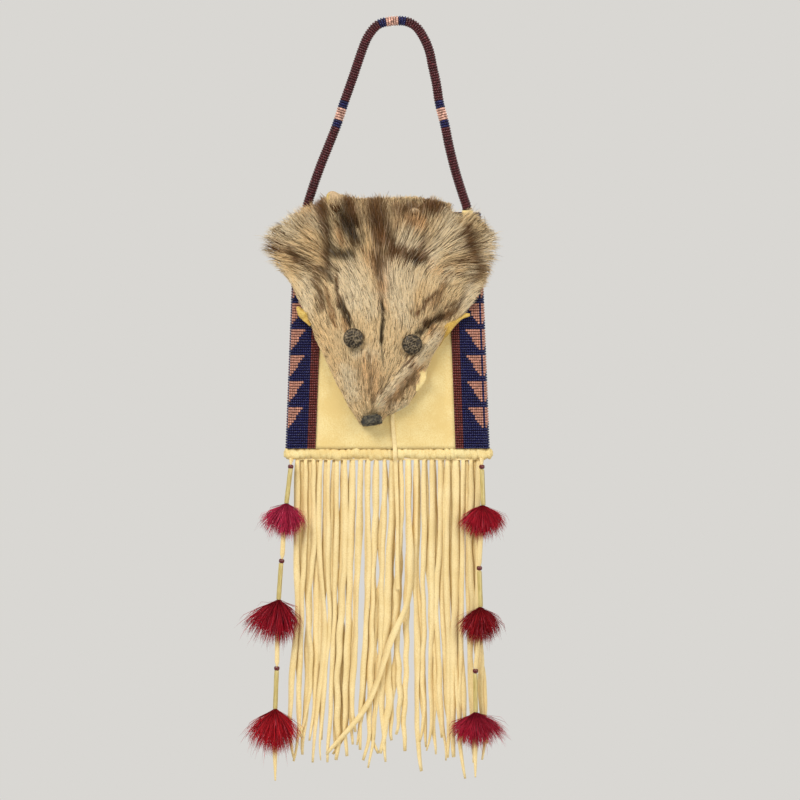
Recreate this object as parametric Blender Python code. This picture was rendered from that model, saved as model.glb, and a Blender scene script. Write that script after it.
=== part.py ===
# Beaded medicine bag: a flat hide pouch with beaded side strips, a face-skin flap,
# a beaded rope strap, a hide fringe, and one hanging drop of tubes and tassels at each side.
# Metres, +Z up, front towards -Y. The origin is the underside of the strap's top, where a hook bears.

import math
import random

import bmesh
import bpy
import numpy as np
from mathutils import Vector
from mathutils.bvhtree import BVHTree

# Pouch
CLEAR = 0.0003                  # gap between pieces that touch
BAG_CENTRE_X = -0.005           # the bag hangs a little left of the hook
MOUTH_Z = -0.140                # top edge of both panels
POUCH_HEIGHT = 0.177
PANEL_WIDTH_TOP = 0.1315
PANEL_WIDTH_BOTTOM = 0.1448
PANEL_THICKNESS = 0.0015
EDGE_SPACE = 0.003              # room between the two panels at their edges
BULGE = 0.008                   # how far the front panel stands out at its middle
MOUTH_BULGE = 0.75              # share of the bulge that is left at the mouth
BULGE_BORDER = 0.024            # flat border of the front panel under each strip
BULGE_FOOT = 0.045              # height over which the bulge dies out above the bottom seam

# Beaded strips folded over the two side edges
STRIP_THICKNESS = 0.0015
STRIP_UNFOLDED = 0.045
LEFT_STRIP_FRONT = 0.018        # flat part on the front, without the fold
RIGHT_STRIP_FRONT = 0.0222

# Rolled lacing along the bottom seam
LACING_RADIUS = 0.0038
LACING_LUMP = 0.0003
LACING_PITCH = 0.0052
LACING_OVERHANG = 0.0012

# Fringe: two hide combs hung from the lacing
HIDE_THICKNESS = 0.0012
FRINGE_STRIP_WIDTH = 0.0027
FRINGE_HEADER = 0.0018
FRINGE_HALF_SPAN = 0.0680
BACK_FRINGE_COUNT = 18
BACK_FRINGE_LENGTH = 0.222
BACK_FRINGE_RAGGED = 0.012
FRINGE_STEPS = 7
CROSSING_LIFT = 0.0034          # how far a strip that crosses the others lies in front of them

# Face-skin flap
FLAP_LIFT = 0.0036              # the skin's underside stands this far off the front panel
FLAP_COLUMNS = 16
FLAP_RIM = 0.38                 # share of the fur's depth that is left at the rim
BUTTON_RADIUS = 0.0075
BUTTON_HEIGHT = 0.0042
LEFT_BUTTON = (-0.0256, 0.0950)     # across from the bag's centre line, down from the mouth
RIGHT_BUTTON = (0.0177, 0.0995)

# Strap
STRAP_RADIUS = 0.00375
TAB_WIDTH = 0.009
TAB_THICKNESS = 0.0012
TAB_HEIGHT = 0.015
TAB_RISE = 0.005                # how far a tab reaches up over the strap's end

# Drops
THONG_RADIUS = 0.0007
TIE_RADIUS = 0.0012
BORE_RADIUS = 0.0012
BEAD_RADIUS = 0.0021
BEAD_LENGTH = 0.0030
TUBE_RADIUS = 0.00165

STRAP_ROUTE = [
    (-0.0664, -0.1391), (-0.0661, -0.1360), (-0.0630, -0.1255), (-0.0568, -0.1075), (-0.0439, -0.0748),
    (-0.0383, -0.0578), (-0.0313, -0.0379), (-0.0240, -0.0165), (-0.0198, -0.0071), (-0.0126, 0.0011),
    (-0.0019, 0.0037), (0.0082, 0.0035), (0.0154, -0.0001), (0.0210, -0.0077), (0.0255, -0.0178),
    (0.0283, -0.0308), (0.0311, -0.0435), (0.0333, -0.0578), (0.0375, -0.0745), (0.0405, -0.0896),
    (0.0455, -0.1095), (0.0516, -0.1290), (0.0540, -0.1360), (0.0542, -0.1391),
]

# Each drop: where its thong's centre passes, as (out from the panel's bottom corner, y, down from the lacing's axis).
# Its first point lies on the lacing's lower front, where the thong comes out.
LEFT_DROP_ROUTE = [
    (0.0002, -0.0050, 0.0045), (0.0002, -0.0066, 0.0053), (0.0003, -0.0073, 0.0065), (0.0004, -0.0073, 0.0089),
    (0.0034, -0.0074, 0.0349), (0.0056, -0.0074, 0.0564), (0.0068, -0.0074, 0.0769),
    (0.0075, -0.0074, 0.0819), (0.0094, -0.0074, 0.1089), (0.0103, -0.0074, 0.1339),
    (0.0107, -0.0074, 0.1584), (0.0109, -0.0074, 0.1619), (0.0119, -0.0074, 0.1899),
    (0.0122, -0.0074, 0.2139), (0.0119, -0.0074, 0.2434),
]
RIGHT_DROP_ROUTE = [
    (-0.0026, -0.0050, 0.0045), (-0.0026, -0.0066, 0.0054), (-0.0026, -0.0073, 0.0068), (-0.0025, -0.0073, 0.0114),
    (-0.0018, -0.0074, 0.0372), (-0.0032, -0.0074, 0.0589), (-0.0044, -0.0074, 0.0839),
    (-0.0044, -0.0074, 0.0879), (-0.0037, -0.0074, 0.1124), (-0.0052, -0.0074, 0.1389),
    (-0.0073, -0.0074, 0.1609), (-0.0074, -0.0074, 0.1644), (-0.0072, -0.0074, 0.1919),
    (-0.0074, -0.0074, 0.2139), (-0.0074, -0.0074, 0.2409),
]
# Along a drop: how far each bead's middle lies below the lacing's axis, and the length of the tube under it.
LEFT_DROP_PIECES = [(0.0086, 0.0260), (0.0794, 0.0270), (0.1594, 0.0285)]
RIGHT_DROP_PIECES = [(0.0094, 0.0265), (0.0854, 0.0265), (0.1619, 0.0285)]
# Each tassel: height, then its reach to the left, to the right, to the front and to the back.
LEFT_TASSELS = [
    (0.026, 0.018, 0.017, 0.011, 0.0042), (0.034, 0.027, 0.018, 0.013, 0.0042),
    (0.034, 0.022, 0.019, 0.013, 0.0042),
]
RIGHT_TASSELS = [
    (0.025, 0.017, 0.019, 0.011, 0.0042), (0.028, 0.015, 0.017, 0.012, 0.0042),
    (0.026, 0.019, 0.025, 0.012, 0.0042),
]

# The tie thong: across from the bag's centre line, up from the pouch's bottom, then down from the lacing's axis.
TIE_ON_PANEL = [(0.0028, 0.0310), (0.0032, 0.0210), (0.0044, 0.0070), (0.0050, 0.0010)]
TIE_HANGING = [(0.0054, 0.0049), (0.0060, 0.0209), (0.0068, 0.0489), (0.0066, 0.0769), (0.0072, 0.1019)]

# Front comb: where each strip's foot hangs, across from the bag's centre line, and its length.
FRONT_FRINGE_FEET = [
    (-0.0757, 0.2235), (-0.0675, 0.2260), (-0.0592, 0.2080), (-0.0540, 0.2270), (-0.0500, 0.2250),
    (-0.0458, 0.2265), (-0.0390, 0.2250), (-0.0348, 0.2220), (-0.0300, 0.2040), (-0.0202, 0.2175),
    (-0.0160, 0.2255), (-0.0112, 0.2310), (-0.0066, 0.2265), (0.0056, 0.2060),
]
CROSSING_STRIP = [(0.0180, 0.0), (0.0182, 0.1040), (0.0060, 0.1330), (-0.0130, 0.1840), (-0.0430, 0.2200)]
RIGHT_FRINGE_FEET = [
    (0.0206, 0.2335), (0.0270, 0.2115), (0.0330, 0.2180), (0.0390, 0.2255), (0.0442, 0.2235),
    (0.0484, 0.2230), (0.0520, 0.2390), (0.0615, 0.2270), (0.0700, 0.2250),
]

# Flap outline below the mouth: depth, left edge, right edge, fur depth, cheek swell.
FLAP_ROWS = [
    (0.006, -0.050, 0.046, 0.0115, 0.000), (0.012, -0.074, 0.070, 0.0130, 0.003),
    (0.020, -0.089, 0.079, 0.0140, 0.005), (0.029, -0.090, 0.078, 0.0140, 0.005),
    (0.040, -0.081, 0.075, 0.0130, 0.004), (0.051, -0.071, 0.072, 0.0120, 0.003),
    (0.063, -0.068, 0.064, 0.0110, 0.001), (0.075, -0.062, 0.057, 0.0105, 0.000),
    (0.086, -0.056, 0.046, 0.0100, 0.000), (0.096, -0.053, 0.040, 0.0100, 0.000),
    (0.107, -0.048, 0.033, 0.0100, 0.000), (0.118, -0.043, 0.028, 0.0095, 0.000),
    (0.129, -0.038, 0.024, 0.0090, 0.000), (0.138, -0.033, 0.019, 0.0085, 0.000),
    (0.146, -0.029, 0.013, 0.0080, 0.000), (0.153, -0.024, -0.002, 0.0080, 0.000),
    (0.159, -0.021, -0.006, 0.0060, 0.000),
]
# Flap roof over the mouth: underside y, underside rise, top's forward lean, top's rise.
FLAP_ROOF = [(0.0010, 0.0006, 0.0, 0.0075), (-0.0050, 0.0006, 0.0030, 0.0090), (-0.0120, 0.0006, 0.0080, 0.0040)]
ROOF_HALF_WIDTH = 0.0465
ROOF_REAR_THICKNESS = 0.0025
LEFT_EAR = (-0.039, 0.008, 0.0050)       # across, width, rise
RIGHT_EAR = (0.020, 0.007, 0.0015)

# Worked out from the sizes above
HALF_SPACE = EDGE_SPACE / 2
BACK_OUTER_Y = HALF_SPACE + PANEL_THICKNESS
FRONT_EDGE_Y = -BACK_OUTER_Y
BOTTOM_Z = MOUTH_Z - POUCH_HEIGHT
STRIP_INNER_R = BACK_OUTER_Y + CLEAR
STRIP_OUTER_R = STRIP_INNER_R + STRIP_THICKNESS
LACING_TOP_Z = BOTTOM_Z - CLEAR
LACING_AXIS_Z = LACING_TOP_Z - LACING_RADIUS
FRINGE_TOP_Z = LACING_AXIS_Z - LACING_RADIUS - CLEAR
HINGE_Y = BACK_OUTER_Y + CLEAR
HINGE_Z = MOUTH_Z


def clear_scene():
    for old in list(bpy.data.objects):
        bpy.data.objects.remove(old, do_unlink=True)


def material(name, colour, roughness, metallic=0.0):
    mat = bpy.data.materials.new(name)
    mat.use_nodes = True
    shader = mat.node_tree.nodes["Principled BSDF"]
    shader.inputs["Base Color"].default_value = (*colour, 1.0)
    shader.inputs["Roughness"].default_value = roughness
    shader.inputs["Metallic"].default_value = metallic
    return mat


def new_object(name, data, mat, parent=None):
    data.materials.append(mat)
    obj = bpy.data.objects.new(name, data)
    bpy.context.scene.collection.objects.link(obj)
    if parent:
        obj.parent = parent
        obj.matrix_parent_inverse = parent.matrix_world.inverted()
    return obj


def mesh_body(name, points, faces, mat, parent=None, smooth=True):
    """One closed mesh with its faces turned outwards."""
    shape = bmesh.new()
    verts = [shape.verts.new(p) for p in points]
    for face in faces:
        shape.faces.new([verts[i] for i in face])
    bmesh.ops.recalc_face_normals(shape, faces=shape.faces[:])
    mesh = bpy.data.meshes.new(name)
    shape.to_mesh(mesh)
    shape.free()
    if smooth:
        mesh.shade_smooth()
        mesh.set_sharp_from_angle(angle=math.radians(40))
    return new_object(name, mesh, mat, parent)


def lofted(rings, through=False):
    """Points and faces of a body that runs through rings of points; a through body joins its last ring to its first."""
    count = len(rings[0])
    points = [p for ring in rings for p in ring]
    faces = []
    last = len(rings) if through else len(rings) - 1
    for i in range(last):
        a, b = i * count, ((i + 1) % len(rings)) * count
        for j in range(count):
            k = (j + 1) % count
            faces.append((a + j, a + k, b + k, b + j))
    if not through:
        faces.append(tuple(range(count)))
        faces.append(tuple(range(len(points) - count, len(points))))
    return points, faces


def smooth_route(points, spacing):
    """Evenly spaced points on a smooth curve through a cord's own points."""
    pts = np.array(points, float)
    pts = np.vstack([2 * pts[0] - pts[1], pts, 2 * pts[-1] - pts[-2]])
    fine = []
    for i in range(1, len(pts) - 2):
        p0, p1, p2, p3 = pts[i - 1:i + 3]
        gaps = [math.sqrt(np.linalg.norm(b - a)) for a, b in ((p0, p1), (p1, p2), (p2, p3))]
        t1 = gaps[0]
        t2 = t1 + gaps[1]
        t3 = t2 + gaps[2]
        for t in np.linspace(t1, t2, 24, endpoint=False):
            a1 = (t1 - t) / t1 * p0 + t / t1 * p1
            a2 = (t2 - t) / (t2 - t1) * p1 + (t - t1) / (t2 - t1) * p2
            a3 = (t3 - t) / (t3 - t2) * p2 + (t - t2) / (t3 - t2) * p3
            b1 = (t2 - t) / t2 * a1 + t / t2 * a2
            b2 = (t3 - t) / (t3 - t1) * a2 + (t - t1) / (t3 - t1) * a3
            fine.append((t2 - t) / (t2 - t1) * b1 + (t - t1) / (t2 - t1) * b2)
    fine.append(pts[-2])
    fine = np.array(fine)
    along = np.concatenate([[0], np.cumsum(np.linalg.norm(np.diff(fine, axis=0), axis=1))])
    wanted = np.linspace(0, along[-1], max(2, round(along[-1] / spacing)) + 1)
    return np.stack([np.interp(wanted, along, fine[:, axis]) for axis in range(3)], axis=1)


def cord(name, route, radius, spacing, sides, mat, parent=None):
    curve = bpy.data.curves.new(name, "CURVE")
    curve.dimensions = "3D"
    curve.bevel_depth = radius
    curve.bevel_resolution = sides
    curve.use_fill_caps = True
    points = smooth_route(route, spacing)
    spline = curve.splines.new("POLY")
    spline.points.add(len(points) - 1)
    for dot, place in zip(spline.points, points):
        dot.co = (*place, 1.0)
    return new_object(name, curve, mat, parent)


def panel_half_width(z):
    """Half of the panels' width at a height, from the narrower mouth to the wider bottom."""
    share = (MOUTH_Z - z) / POUCH_HEIGHT
    return (PANEL_WIDTH_TOP + (PANEL_WIDTH_BOTTOM - PANEL_WIDTH_TOP) * share) / 2


def bulge(x, z):
    """How far the front panel stands out in front of its edges at one place."""
    across = abs(x - BAG_CENTRE_X) / (panel_half_width(z) - BULGE_BORDER)
    if across >= 1:
        return 0.0
    above_foot = min(1.0, max(0.0, (z - BOTTOM_Z) / BULGE_FOOT))
    foot = above_foot * above_foot * (3 - 2 * above_foot)
    down = min(1.0, max(0.0, (MOUTH_Z - z) / (POUCH_HEIGHT / 2)))
    mouth = MOUTH_BULGE + (1 - MOUTH_BULGE) * math.sin(down * math.pi / 2)
    return BULGE * foot * mouth * math.cos(math.pi / 2 * across * across) ** 2


def front_panel(mat):
    """The pouch's front: a hide sheet that bellies out between the strips."""
    columns, rows = 20, 16
    inner, outer = [], []
    for r in range(rows + 1):
        z = MOUTH_Z - POUCH_HEIGHT * r / rows
        for c in range(columns + 1):
            x = BAG_CENTRE_X + panel_half_width(z) * (2 * c / columns - 1)
            y = -HALF_SPACE - bulge(x, z)
            inner.append((x, y, z))
            outer.append((x, y - PANEL_THICKNESS, z))
    points, faces = two_sided(inner, outer, rows + 1, columns + 1)
    return mesh_body("front_panel", points, faces, mat)


def two_sided(under, top, rows, columns):
    """Points and faces of a closed sheet between two grids of points."""
    size = rows * columns
    faces = []
    for r in range(rows - 1):
        for c in range(columns - 1):
            a = r * columns + c
            quad = (a, a + 1, a + columns + 1, a + columns)
            faces.append(quad)
            faces.append(tuple(size + i for i in reversed(quad)))
    rim = [c for c in range(columns)]
    rim += [r * columns + columns - 1 for r in range(1, rows)]
    rim += [(rows - 1) * columns + c for c in range(columns - 2, -1, -1)]
    rim += [r * columns for r in range(rows - 2, 0, -1)]
    for i, a in enumerate(rim):
        b = rim[(i + 1) % len(rim)]
        faces.append((b, a, size + a, size + b))
    return list(under) + list(top), faces


def back_panel(mat):
    """The pouch's back: a flat hide sheet."""
    corners = [(-1, MOUTH_Z), (1, MOUTH_Z), (1, BOTTOM_Z), (-1, BOTTOM_Z)]
    rings = []
    for y in (HALF_SPACE, BACK_OUTER_Y):
        rings.append([(BAG_CENTRE_X + side * panel_half_width(z), y, z) for side, z in corners])
    points, faces = lofted(rings)
    return mesh_body("back_panel", points, faces, mat, smooth=False)


def strip_section(front_flat):
    """The folded strip's outline seen from above, out from the panel's edge: a long U round both panels."""
    fold = math.pi * STRIP_OUTER_R
    back_flat = STRIP_UNFOLDED - front_flat - fold
    turns = [math.pi * i / 8 - math.pi / 2 for i in range(9)]
    outer = [(STRIP_OUTER_R * math.cos(t), STRIP_OUTER_R * math.sin(t)) for t in turns]
    inner = [(STRIP_INNER_R * math.cos(t), STRIP_INNER_R * math.sin(t)) for t in reversed(turns)]
    front_end = [(-front_flat, -STRIP_INNER_R), (-front_flat, -STRIP_OUTER_R)]
    back_end = [(-back_flat, STRIP_OUTER_R), (-back_flat, STRIP_INNER_R)]
    return front_end + outer + back_end + inner


def beaded_strip(name, side, front_flat, mat):
    """Loomed beadwork folded over one side edge, holding both panels between its halves."""
    rings = []
    for z in (MOUTH_Z, BOTTOM_Z):
        edge = BAG_CENTRE_X + side * panel_half_width(z)
        rings.append([(edge + side * out, y, z) for out, y in strip_section(front_flat)])
    points, faces = lofted(rings)
    return mesh_body(name, points, faces, mat)


def lacing(mat):
    """A hide thong rolled and whipped along the bottom seam, so it is a row of lumps."""
    half = panel_half_width(BOTTOM_Z) + STRIP_OUTER_R + LACING_OVERHANG
    per_lump = 2
    count = round(2 * half / LACING_PITCH) * per_lump
    rings = []
    for i in range(count + 1):
        x = BAG_CENTRE_X - half + 2 * half * i / count
        swell = 0.5 - 0.5 * math.cos(2 * math.pi * i / per_lump)
        end = min(i, count - i)
        radius = (LACING_RADIUS - LACING_LUMP * (1 - swell)) * (0.75 if end == 0 else 1.0)
        turns = [2 * math.pi * (k + 0.5) / 8 for k in range(8)]
        radius /= math.cos(math.pi / 8)
        rings.append([(x, radius * math.cos(t), LACING_AXIS_Z + radius * math.sin(t)) for t in turns])
    points, faces = lofted(rings)
    return mesh_body("bottom_lacing", points, faces, mat)


def comb(name, strips, y_front, mat):
    """A hide band with strips cut down from it; each strip is a list of (x, forward, z) centres."""
    y_back = y_front + HIDE_THICKNESS
    header_z = FRINGE_TOP_Z - FRINGE_HEADER
    half = FRINGE_STRIP_WIDTH / 2
    edges = [strips[0][0][0] - half, strips[-1][0][0] + half]
    for strip in strips:
        edges += [strip[0][0] - half, strip[0][0] + half]
    stations = sorted(set(edges))
    points, faces = [], []

    def add(x, y, z):
        points.append((x, y, z))
        return len(points) - 1

    tops = [(add(x, y_front, FRINGE_TOP_Z), add(x, y_back, FRINGE_TOP_Z)) for x in stations]
    lows = [(add(x, y_front, header_z), add(x, y_back, header_z)) for x in stations]
    starts = {strip[0][0] - half: strip for strip in strips}
    for i in range(len(stations) - 1):
        tf, tb, tf2, tb2 = *tops[i], *tops[i + 1]
        lf, lb, lf2, lb2 = *lows[i], *lows[i + 1]
        faces += [(tf, tb, tb2, tf2), (tf, tf2, lf2, lf), (tb, lb, lb2, tb2)]
        strip = starts.get(stations[i])
        if strip is None:
            faces.append((lf, lf2, lb2, lb))
            continue
        ring = (lf, lf2, lb2, lb)
        for x, forward, z in strip[1:]:
            new = (add(x - half, y_front - forward, z), add(x + half, y_front - forward, z),
                   add(x + half, y_back - forward, z), add(x - half, y_back - forward, z))
            faces += [(ring[k], ring[(k + 1) % 4], new[(k + 1) % 4], new[k]) for k in range(4)]
            ring = new
        faces.append(ring)
    faces.append((tops[0][0], lows[0][0], lows[0][1], tops[0][1]))
    faces.append((tops[-1][0], tops[-1][1], lows[-1][1], lows[-1][0]))
    return mesh_body(name, points, faces, mat, smooth=False)


def hanging_strip(top_x, foot_x, length):
    """Centres of one strip that drifts sideways from its root to its foot."""
    centres = []
    for i in range(FRINGE_STEPS + 1):
        down = i / FRINGE_STEPS
        drift = down * down * (1.5 - 0.5 * down)
        z = FRINGE_TOP_Z - FRINGE_HEADER - (length - FRINGE_HEADER) * down
        centres.append((top_x + (foot_x - top_x) * drift, 0.0, z))
    return centres


def front_fringe(mat):
    """The front comb: a left group, one strip that crosses it in front, and a right group."""
    total = len(FRONT_FRINGE_FEET) + 1 + len(RIGHT_FRINGE_FEET)
    roots = [BAG_CENTRE_X - FRINGE_HALF_SPAN + 2 * FRINGE_HALF_SPAN * i / (total - 1) for i in range(total)]
    strips = []
    for root, (foot, length) in zip(roots, FRONT_FRINGE_FEET):
        strips.append(hanging_strip(root, BAG_CENTRE_X + foot, length))
    root = roots[len(strips)]
    crossing = [(root, 0.0, FRINGE_TOP_Z - FRINGE_HEADER)]
    first_x = CROSSING_STRIP[0][0]
    for x, down in smooth_pairs(CROSSING_STRIP[1:], 3):
        crossing.append((root + x - first_x, CROSSING_LIFT, FRINGE_TOP_Z - down))
    strips.append(crossing)
    for root, (foot, length) in zip(roots[len(strips):], RIGHT_FRINGE_FEET):
        strips.append(hanging_strip(root, BAG_CENTRE_X + foot, length))
    return comb("fringe_front", strips, -CLEAR / 2 - HIDE_THICKNESS, mat)


def smooth_pairs(pairs, steps):
    """Points between hand-chosen (across, down) pairs, eased along a smooth curve."""
    spread = np.linalg.norm(np.diff(pairs, axis=0), axis=1).sum()
    route = smooth_route([(x, 0.0, down) for x, down in pairs], spread / (steps * (len(pairs) - 1)))
    return [(x, down) for x, _, down in route]


def back_fringe(mat):
    """The back comb: strips that show between those of the front comb, parted like them."""
    rng = random.Random(7)
    pitch = 2 * FRINGE_HALF_SPAN / BACK_FRINGE_COUNT
    strips = []
    for i in range(BACK_FRINGE_COUNT):
        root = BAG_CENTRE_X - FRINGE_HALF_SPAN + pitch * (i + 0.5)
        part = -0.0062 if i < BACK_FRINGE_COUNT * 0.62 else 0.0052
        length = BACK_FRINGE_LENGTH - BACK_FRINGE_RAGGED * rng.random()
        strips.append(hanging_strip(root, root + part, length))
    return comb("fringe_back", strips, CLEAR / 2, mat)


def flap_grid():
    """Underside and fur-side points of the flap, row by row from its hinge to its nose."""
    under, fur = [], []
    shares = [2 * c / FLAP_COLUMNS - 1 for c in range(FLAP_COLUMNS + 1)]
    roof = [(HINGE_Y, CLEAR, 0.0, ROOF_REAR_THICKNESS)] + FLAP_ROOF
    for y, rise, lean, height in roof:
        for s in shares:
            x = BAG_CENTRE_X + ROOF_HALF_WIDTH * s
            crown = FLAP_RIM + (1 - FLAP_RIM) * (1 - abs(s) ** 3)
            ears = 0.0
            for middle, width, ear_rise in (LEFT_EAR, RIGHT_EAR):
                ears += ear_rise * math.exp(-((x - BAG_CENTRE_X - middle) / width) ** 2)
            if y == HINGE_Y:
                ears = 0.0
            under.append((x, y, MOUTH_Z + rise))
            fur.append((x, y - lean * crown, MOUTH_Z + rise + height * crown + ears))
    for depth, left, right, thick, swell in FLAP_ROWS:
        z = MOUTH_Z - depth
        for s in shares:
            x = BAG_CENTRE_X + (left + right) / 2 + (right - left) / 2 * s
            y = FRONT_EDGE_Y - FLAP_LIFT - bulge(x, z)
            rim = FLAP_RIM + (1 - FLAP_RIM) * (1 - abs(s) ** 3)
            cheek = swell * math.exp(-((abs(s) - 0.7) / 0.2) ** 2)
            under.append((x, y, z))
            fur.append((x, y - thick * rim - cheek, z))
    return under, fur, len(roof) + len(FLAP_ROWS)


def fur_flap(mat, parent):
    """The animal's face skin with its fur, folded over the mouth and down the front."""
    under, fur, rows = flap_grid()
    points, faces = two_sided(under, fur, rows, FLAP_COLUMNS + 1)
    return mesh_body("fur_flap", points, faces, mat, parent)


def front_of(obj, x, z, radius):
    """The foremost y of a body inside a round footprint."""
    tree = BVHTree.FromPolygons([v.co for v in obj.data.vertices], [p.vertices for p in obj.data.polygons])
    foremost = 0.0
    for ring in (0.0, 0.5, 1.0):
        for k in range(16):
            turn = math.tau * k / 16
            start = Vector((x + radius * ring * math.cos(turn), -1.0, z + radius * ring * math.sin(turn)))
            hit = tree.ray_cast(start, Vector((0, 1, 0)))[0]
            if hit is not None:
                foremost = min(foremost, hit.y)
    return foremost


def button(name, place, flap, mat, parent):
    """A domed metal button sewn on as an eye, its flat back against the fur."""
    x = BAG_CENTRE_X + place[0]
    z = MOUTH_Z - place[1]
    back_y = front_of(flap, x, z, BUTTON_RADIUS) - CLEAR
    rim = BUTTON_HEIGHT * 0.3
    profile = [(BUTTON_RADIUS * 0.93, 0.0), (BUTTON_RADIUS, rim * 0.5), (BUTTON_RADIUS * 0.97, rim)]
    for i in range(1, 4):
        turn = math.pi / 2 * i / 4
        profile.append((BUTTON_RADIUS * 0.97 * math.cos(turn), rim + (BUTTON_HEIGHT - rim) * math.sin(turn)))
    rings = []
    for radius, out in profile:
        turns = [math.tau * k / 20 for k in range(20)]
        rings.append([(x + radius * math.cos(t), back_y - out, z + radius * math.sin(t)) for t in turns])
    points, faces = lofted(rings)
    return mesh_body(name, points, faces, mat, parent)


def strap_tab(name, x, mat):
    """A folded hide tab that holds the strap's end to the bag's corner."""
    face_y = -STRIP_OUTER_R - CLEAR
    lap_y = -STRAP_RADIUS - CLEAR
    front_y = face_y - TAB_THICKNESS
    top = MOUTH_Z + TAB_RISE
    step = MOUTH_Z + 2 * CLEAR
    foot = top - TAB_HEIGHT
    outline = [(front_y, foot), (face_y, foot), (face_y, step), (lap_y, step + abs(lap_y - face_y)),
               (lap_y, top), (front_y, top)]
    half = TAB_WIDTH / 2
    rings = [[(x + side * half, y, z) for y, z in outline] for side in (-1, 1)]
    points, faces = lofted(rings)
    return mesh_body(name, points, faces, mat, smooth=False)


def at_height(route, z):
    """Where a drop's smooth route passes a height, and which way it runs there."""
    for a, b in zip(route[:-1], route[1:]):
        if a[2] >= z >= b[2]:
            share = (a[2] - z) / (a[2] - b[2])
            return Vector(a + (b - a) * share), Vector(a - b).normalized()
    return Vector(route[-1]), Vector((0, 0, 1))


def turned(name, profile, centre, up, mat, parent, sides=8):
    """A turned piece with a bore, its closed profile spun round its own axis and set along a thong."""
    rings = []
    for radius, height in profile:
        turns = [math.tau * k / sides for k in range(sides)]
        rings.append([(radius * math.cos(t), radius * math.sin(t), height) for t in turns])
    points, faces = lofted(rings, through=True)
    obj = mesh_body(name, points, faces, mat)
    obj.location = centre
    obj.rotation_euler = Vector(up).to_track_quat("Z", "Y").to_euler()
    if parent:
        obj.parent = parent
        obj.matrix_parent_inverse = parent.matrix_world.inverted()
    return obj


def bead(name, centre, up, mat, parent):
    half = BEAD_LENGTH / 2
    profile = [(BORE_RADIUS, -half), (BEAD_RADIUS * 0.8, -half), (BEAD_RADIUS, -half * 0.4),
               (BEAD_RADIUS, half * 0.4), (BEAD_RADIUS * 0.8, half), (BORE_RADIUS, half)]
    return turned(name, profile, centre, up, mat, parent)


def tube(name, length, centre, up, mat, parent):
    half = length / 2
    profile = [(BORE_RADIUS, -half), (TUBE_RADIUS, -half), (TUBE_RADIUS, half), (BORE_RADIUS, half)]
    return turned(name, profile, centre, up, mat, parent)


def tassel(name, size, top, route, mat, parent):
    """A bell of dyed hair tied round the thong under a tube; its rings are centred on the thong."""
    height, left, right, front, back = size
    outline = [(0.10, 0.0), (0.22, 0.10), (0.55, 0.38), (0.88, 0.66), (1.0, 0.86), (0.80, 1.0)]
    bore = [(0.0, down) for down in (1.0, 0.67, 0.33, 0.0)]
    sides = 12
    rings = []
    for share, down in outline + bore:
        z = -height * down
        middle = at_height(route, top.z + z)[0] - top
        ring = []
        for k in range(sides):
            turn = math.tau * k / sides
            reach_x = right if math.cos(turn) > 0 else left
            reach_y = back if math.sin(turn) > 0 else front
            least = TUBE_RADIUS if share else BORE_RADIUS
            ring.append((middle.x + max(reach_x * share, least) * math.cos(turn),
                         middle.y + max(reach_y * share, least) * math.sin(turn), z))
        rings.append(ring)
    points, faces = lofted(rings, through=True)
    obj = mesh_body(name, points, faces, mat)
    obj.location = top
    if parent:
        obj.parent = parent
        obj.matrix_parent_inverse = parent.matrix_world.inverted()
    return obj


def drop_points(side, hand_points):
    """A drop's route in place: out from the lacing's lower front, then down past the points chosen for it."""
    corner_x = BAG_CENTRE_X + side * panel_half_width(BOTTOM_Z)
    start = (LACING_RADIUS + CLEAR + LACING_LUMP / 2) * math.sqrt(0.5)
    points = [(corner_x + side * hand_points[0][0], -start, LACING_AXIS_Z - start)]
    points += [(corner_x + side * out, y, LACING_AXIS_Z - down) for out, y, down in hand_points]
    return points


def drop(name, points, pieces, tassels, mats, parent):
    """One hanging drop: a thong with three sets of bead, tube and hair tassel."""
    route = smooth_route(points, 0.002)
    cord(name + "_drop_thong", points, THONG_RADIUS, 0.0032, 2, mats["thong"], parent)
    for i, ((bead_down, tube_length), size) in enumerate(zip(pieces, tassels), 1):
        bead_z = LACING_AXIS_Z - bead_down
        centre, up = at_height(route, bead_z)
        bead(f"{name}_bead_{i}", centre, up, mats["bead"], parent)
        tube_centre, up = at_height(route, bead_z - BEAD_LENGTH / 2 - CLEAR - tube_length / 2)
        tube(f"{name}_tube_{i}", tube_length, tube_centre, up, mats["tube"], parent)
        below = tube_centre - up * (tube_length / 2 + CLEAR)
        tassel(f"{name}_tassel_{i}", size, below, route, mats["tassel"], parent)


def tie_thong(mat):
    """A thong sewn on under the flap's tip; it runs down the front, over the lacing and in front of the fringe."""
    route = []
    for across, up in TIE_ON_PANEL:
        x, z = BAG_CENTRE_X + across, BOTTOM_Z + up
        route.append((x, FRONT_EDGE_Y - bulge(x, z) - CLEAR - TIE_RADIUS, z))
    over = LACING_RADIUS / math.cos(math.pi / 8) + CLEAR + TIE_RADIUS
    for z in (LACING_AXIS_Z + LACING_RADIUS / 2, LACING_AXIS_Z - LACING_RADIUS / 2):
        route.append((route[-1][0], -over, z))
    hang_y = -CLEAR / 2 - HIDE_THICKNESS - 2 * CLEAR - TIE_RADIUS
    route += [(BAG_CENTRE_X + across, hang_y, LACING_AXIS_Z - down) for across, down in TIE_HANGING]
    return cord("tie_thong", route, TIE_RADIUS, 0.005, 2, mat)


def pivot(name, place):
    empty = bpy.data.objects.new(name, None)
    empty.location = place
    bpy.context.scene.collection.objects.link(empty)
    bpy.context.view_layer.update()
    return empty


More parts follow.
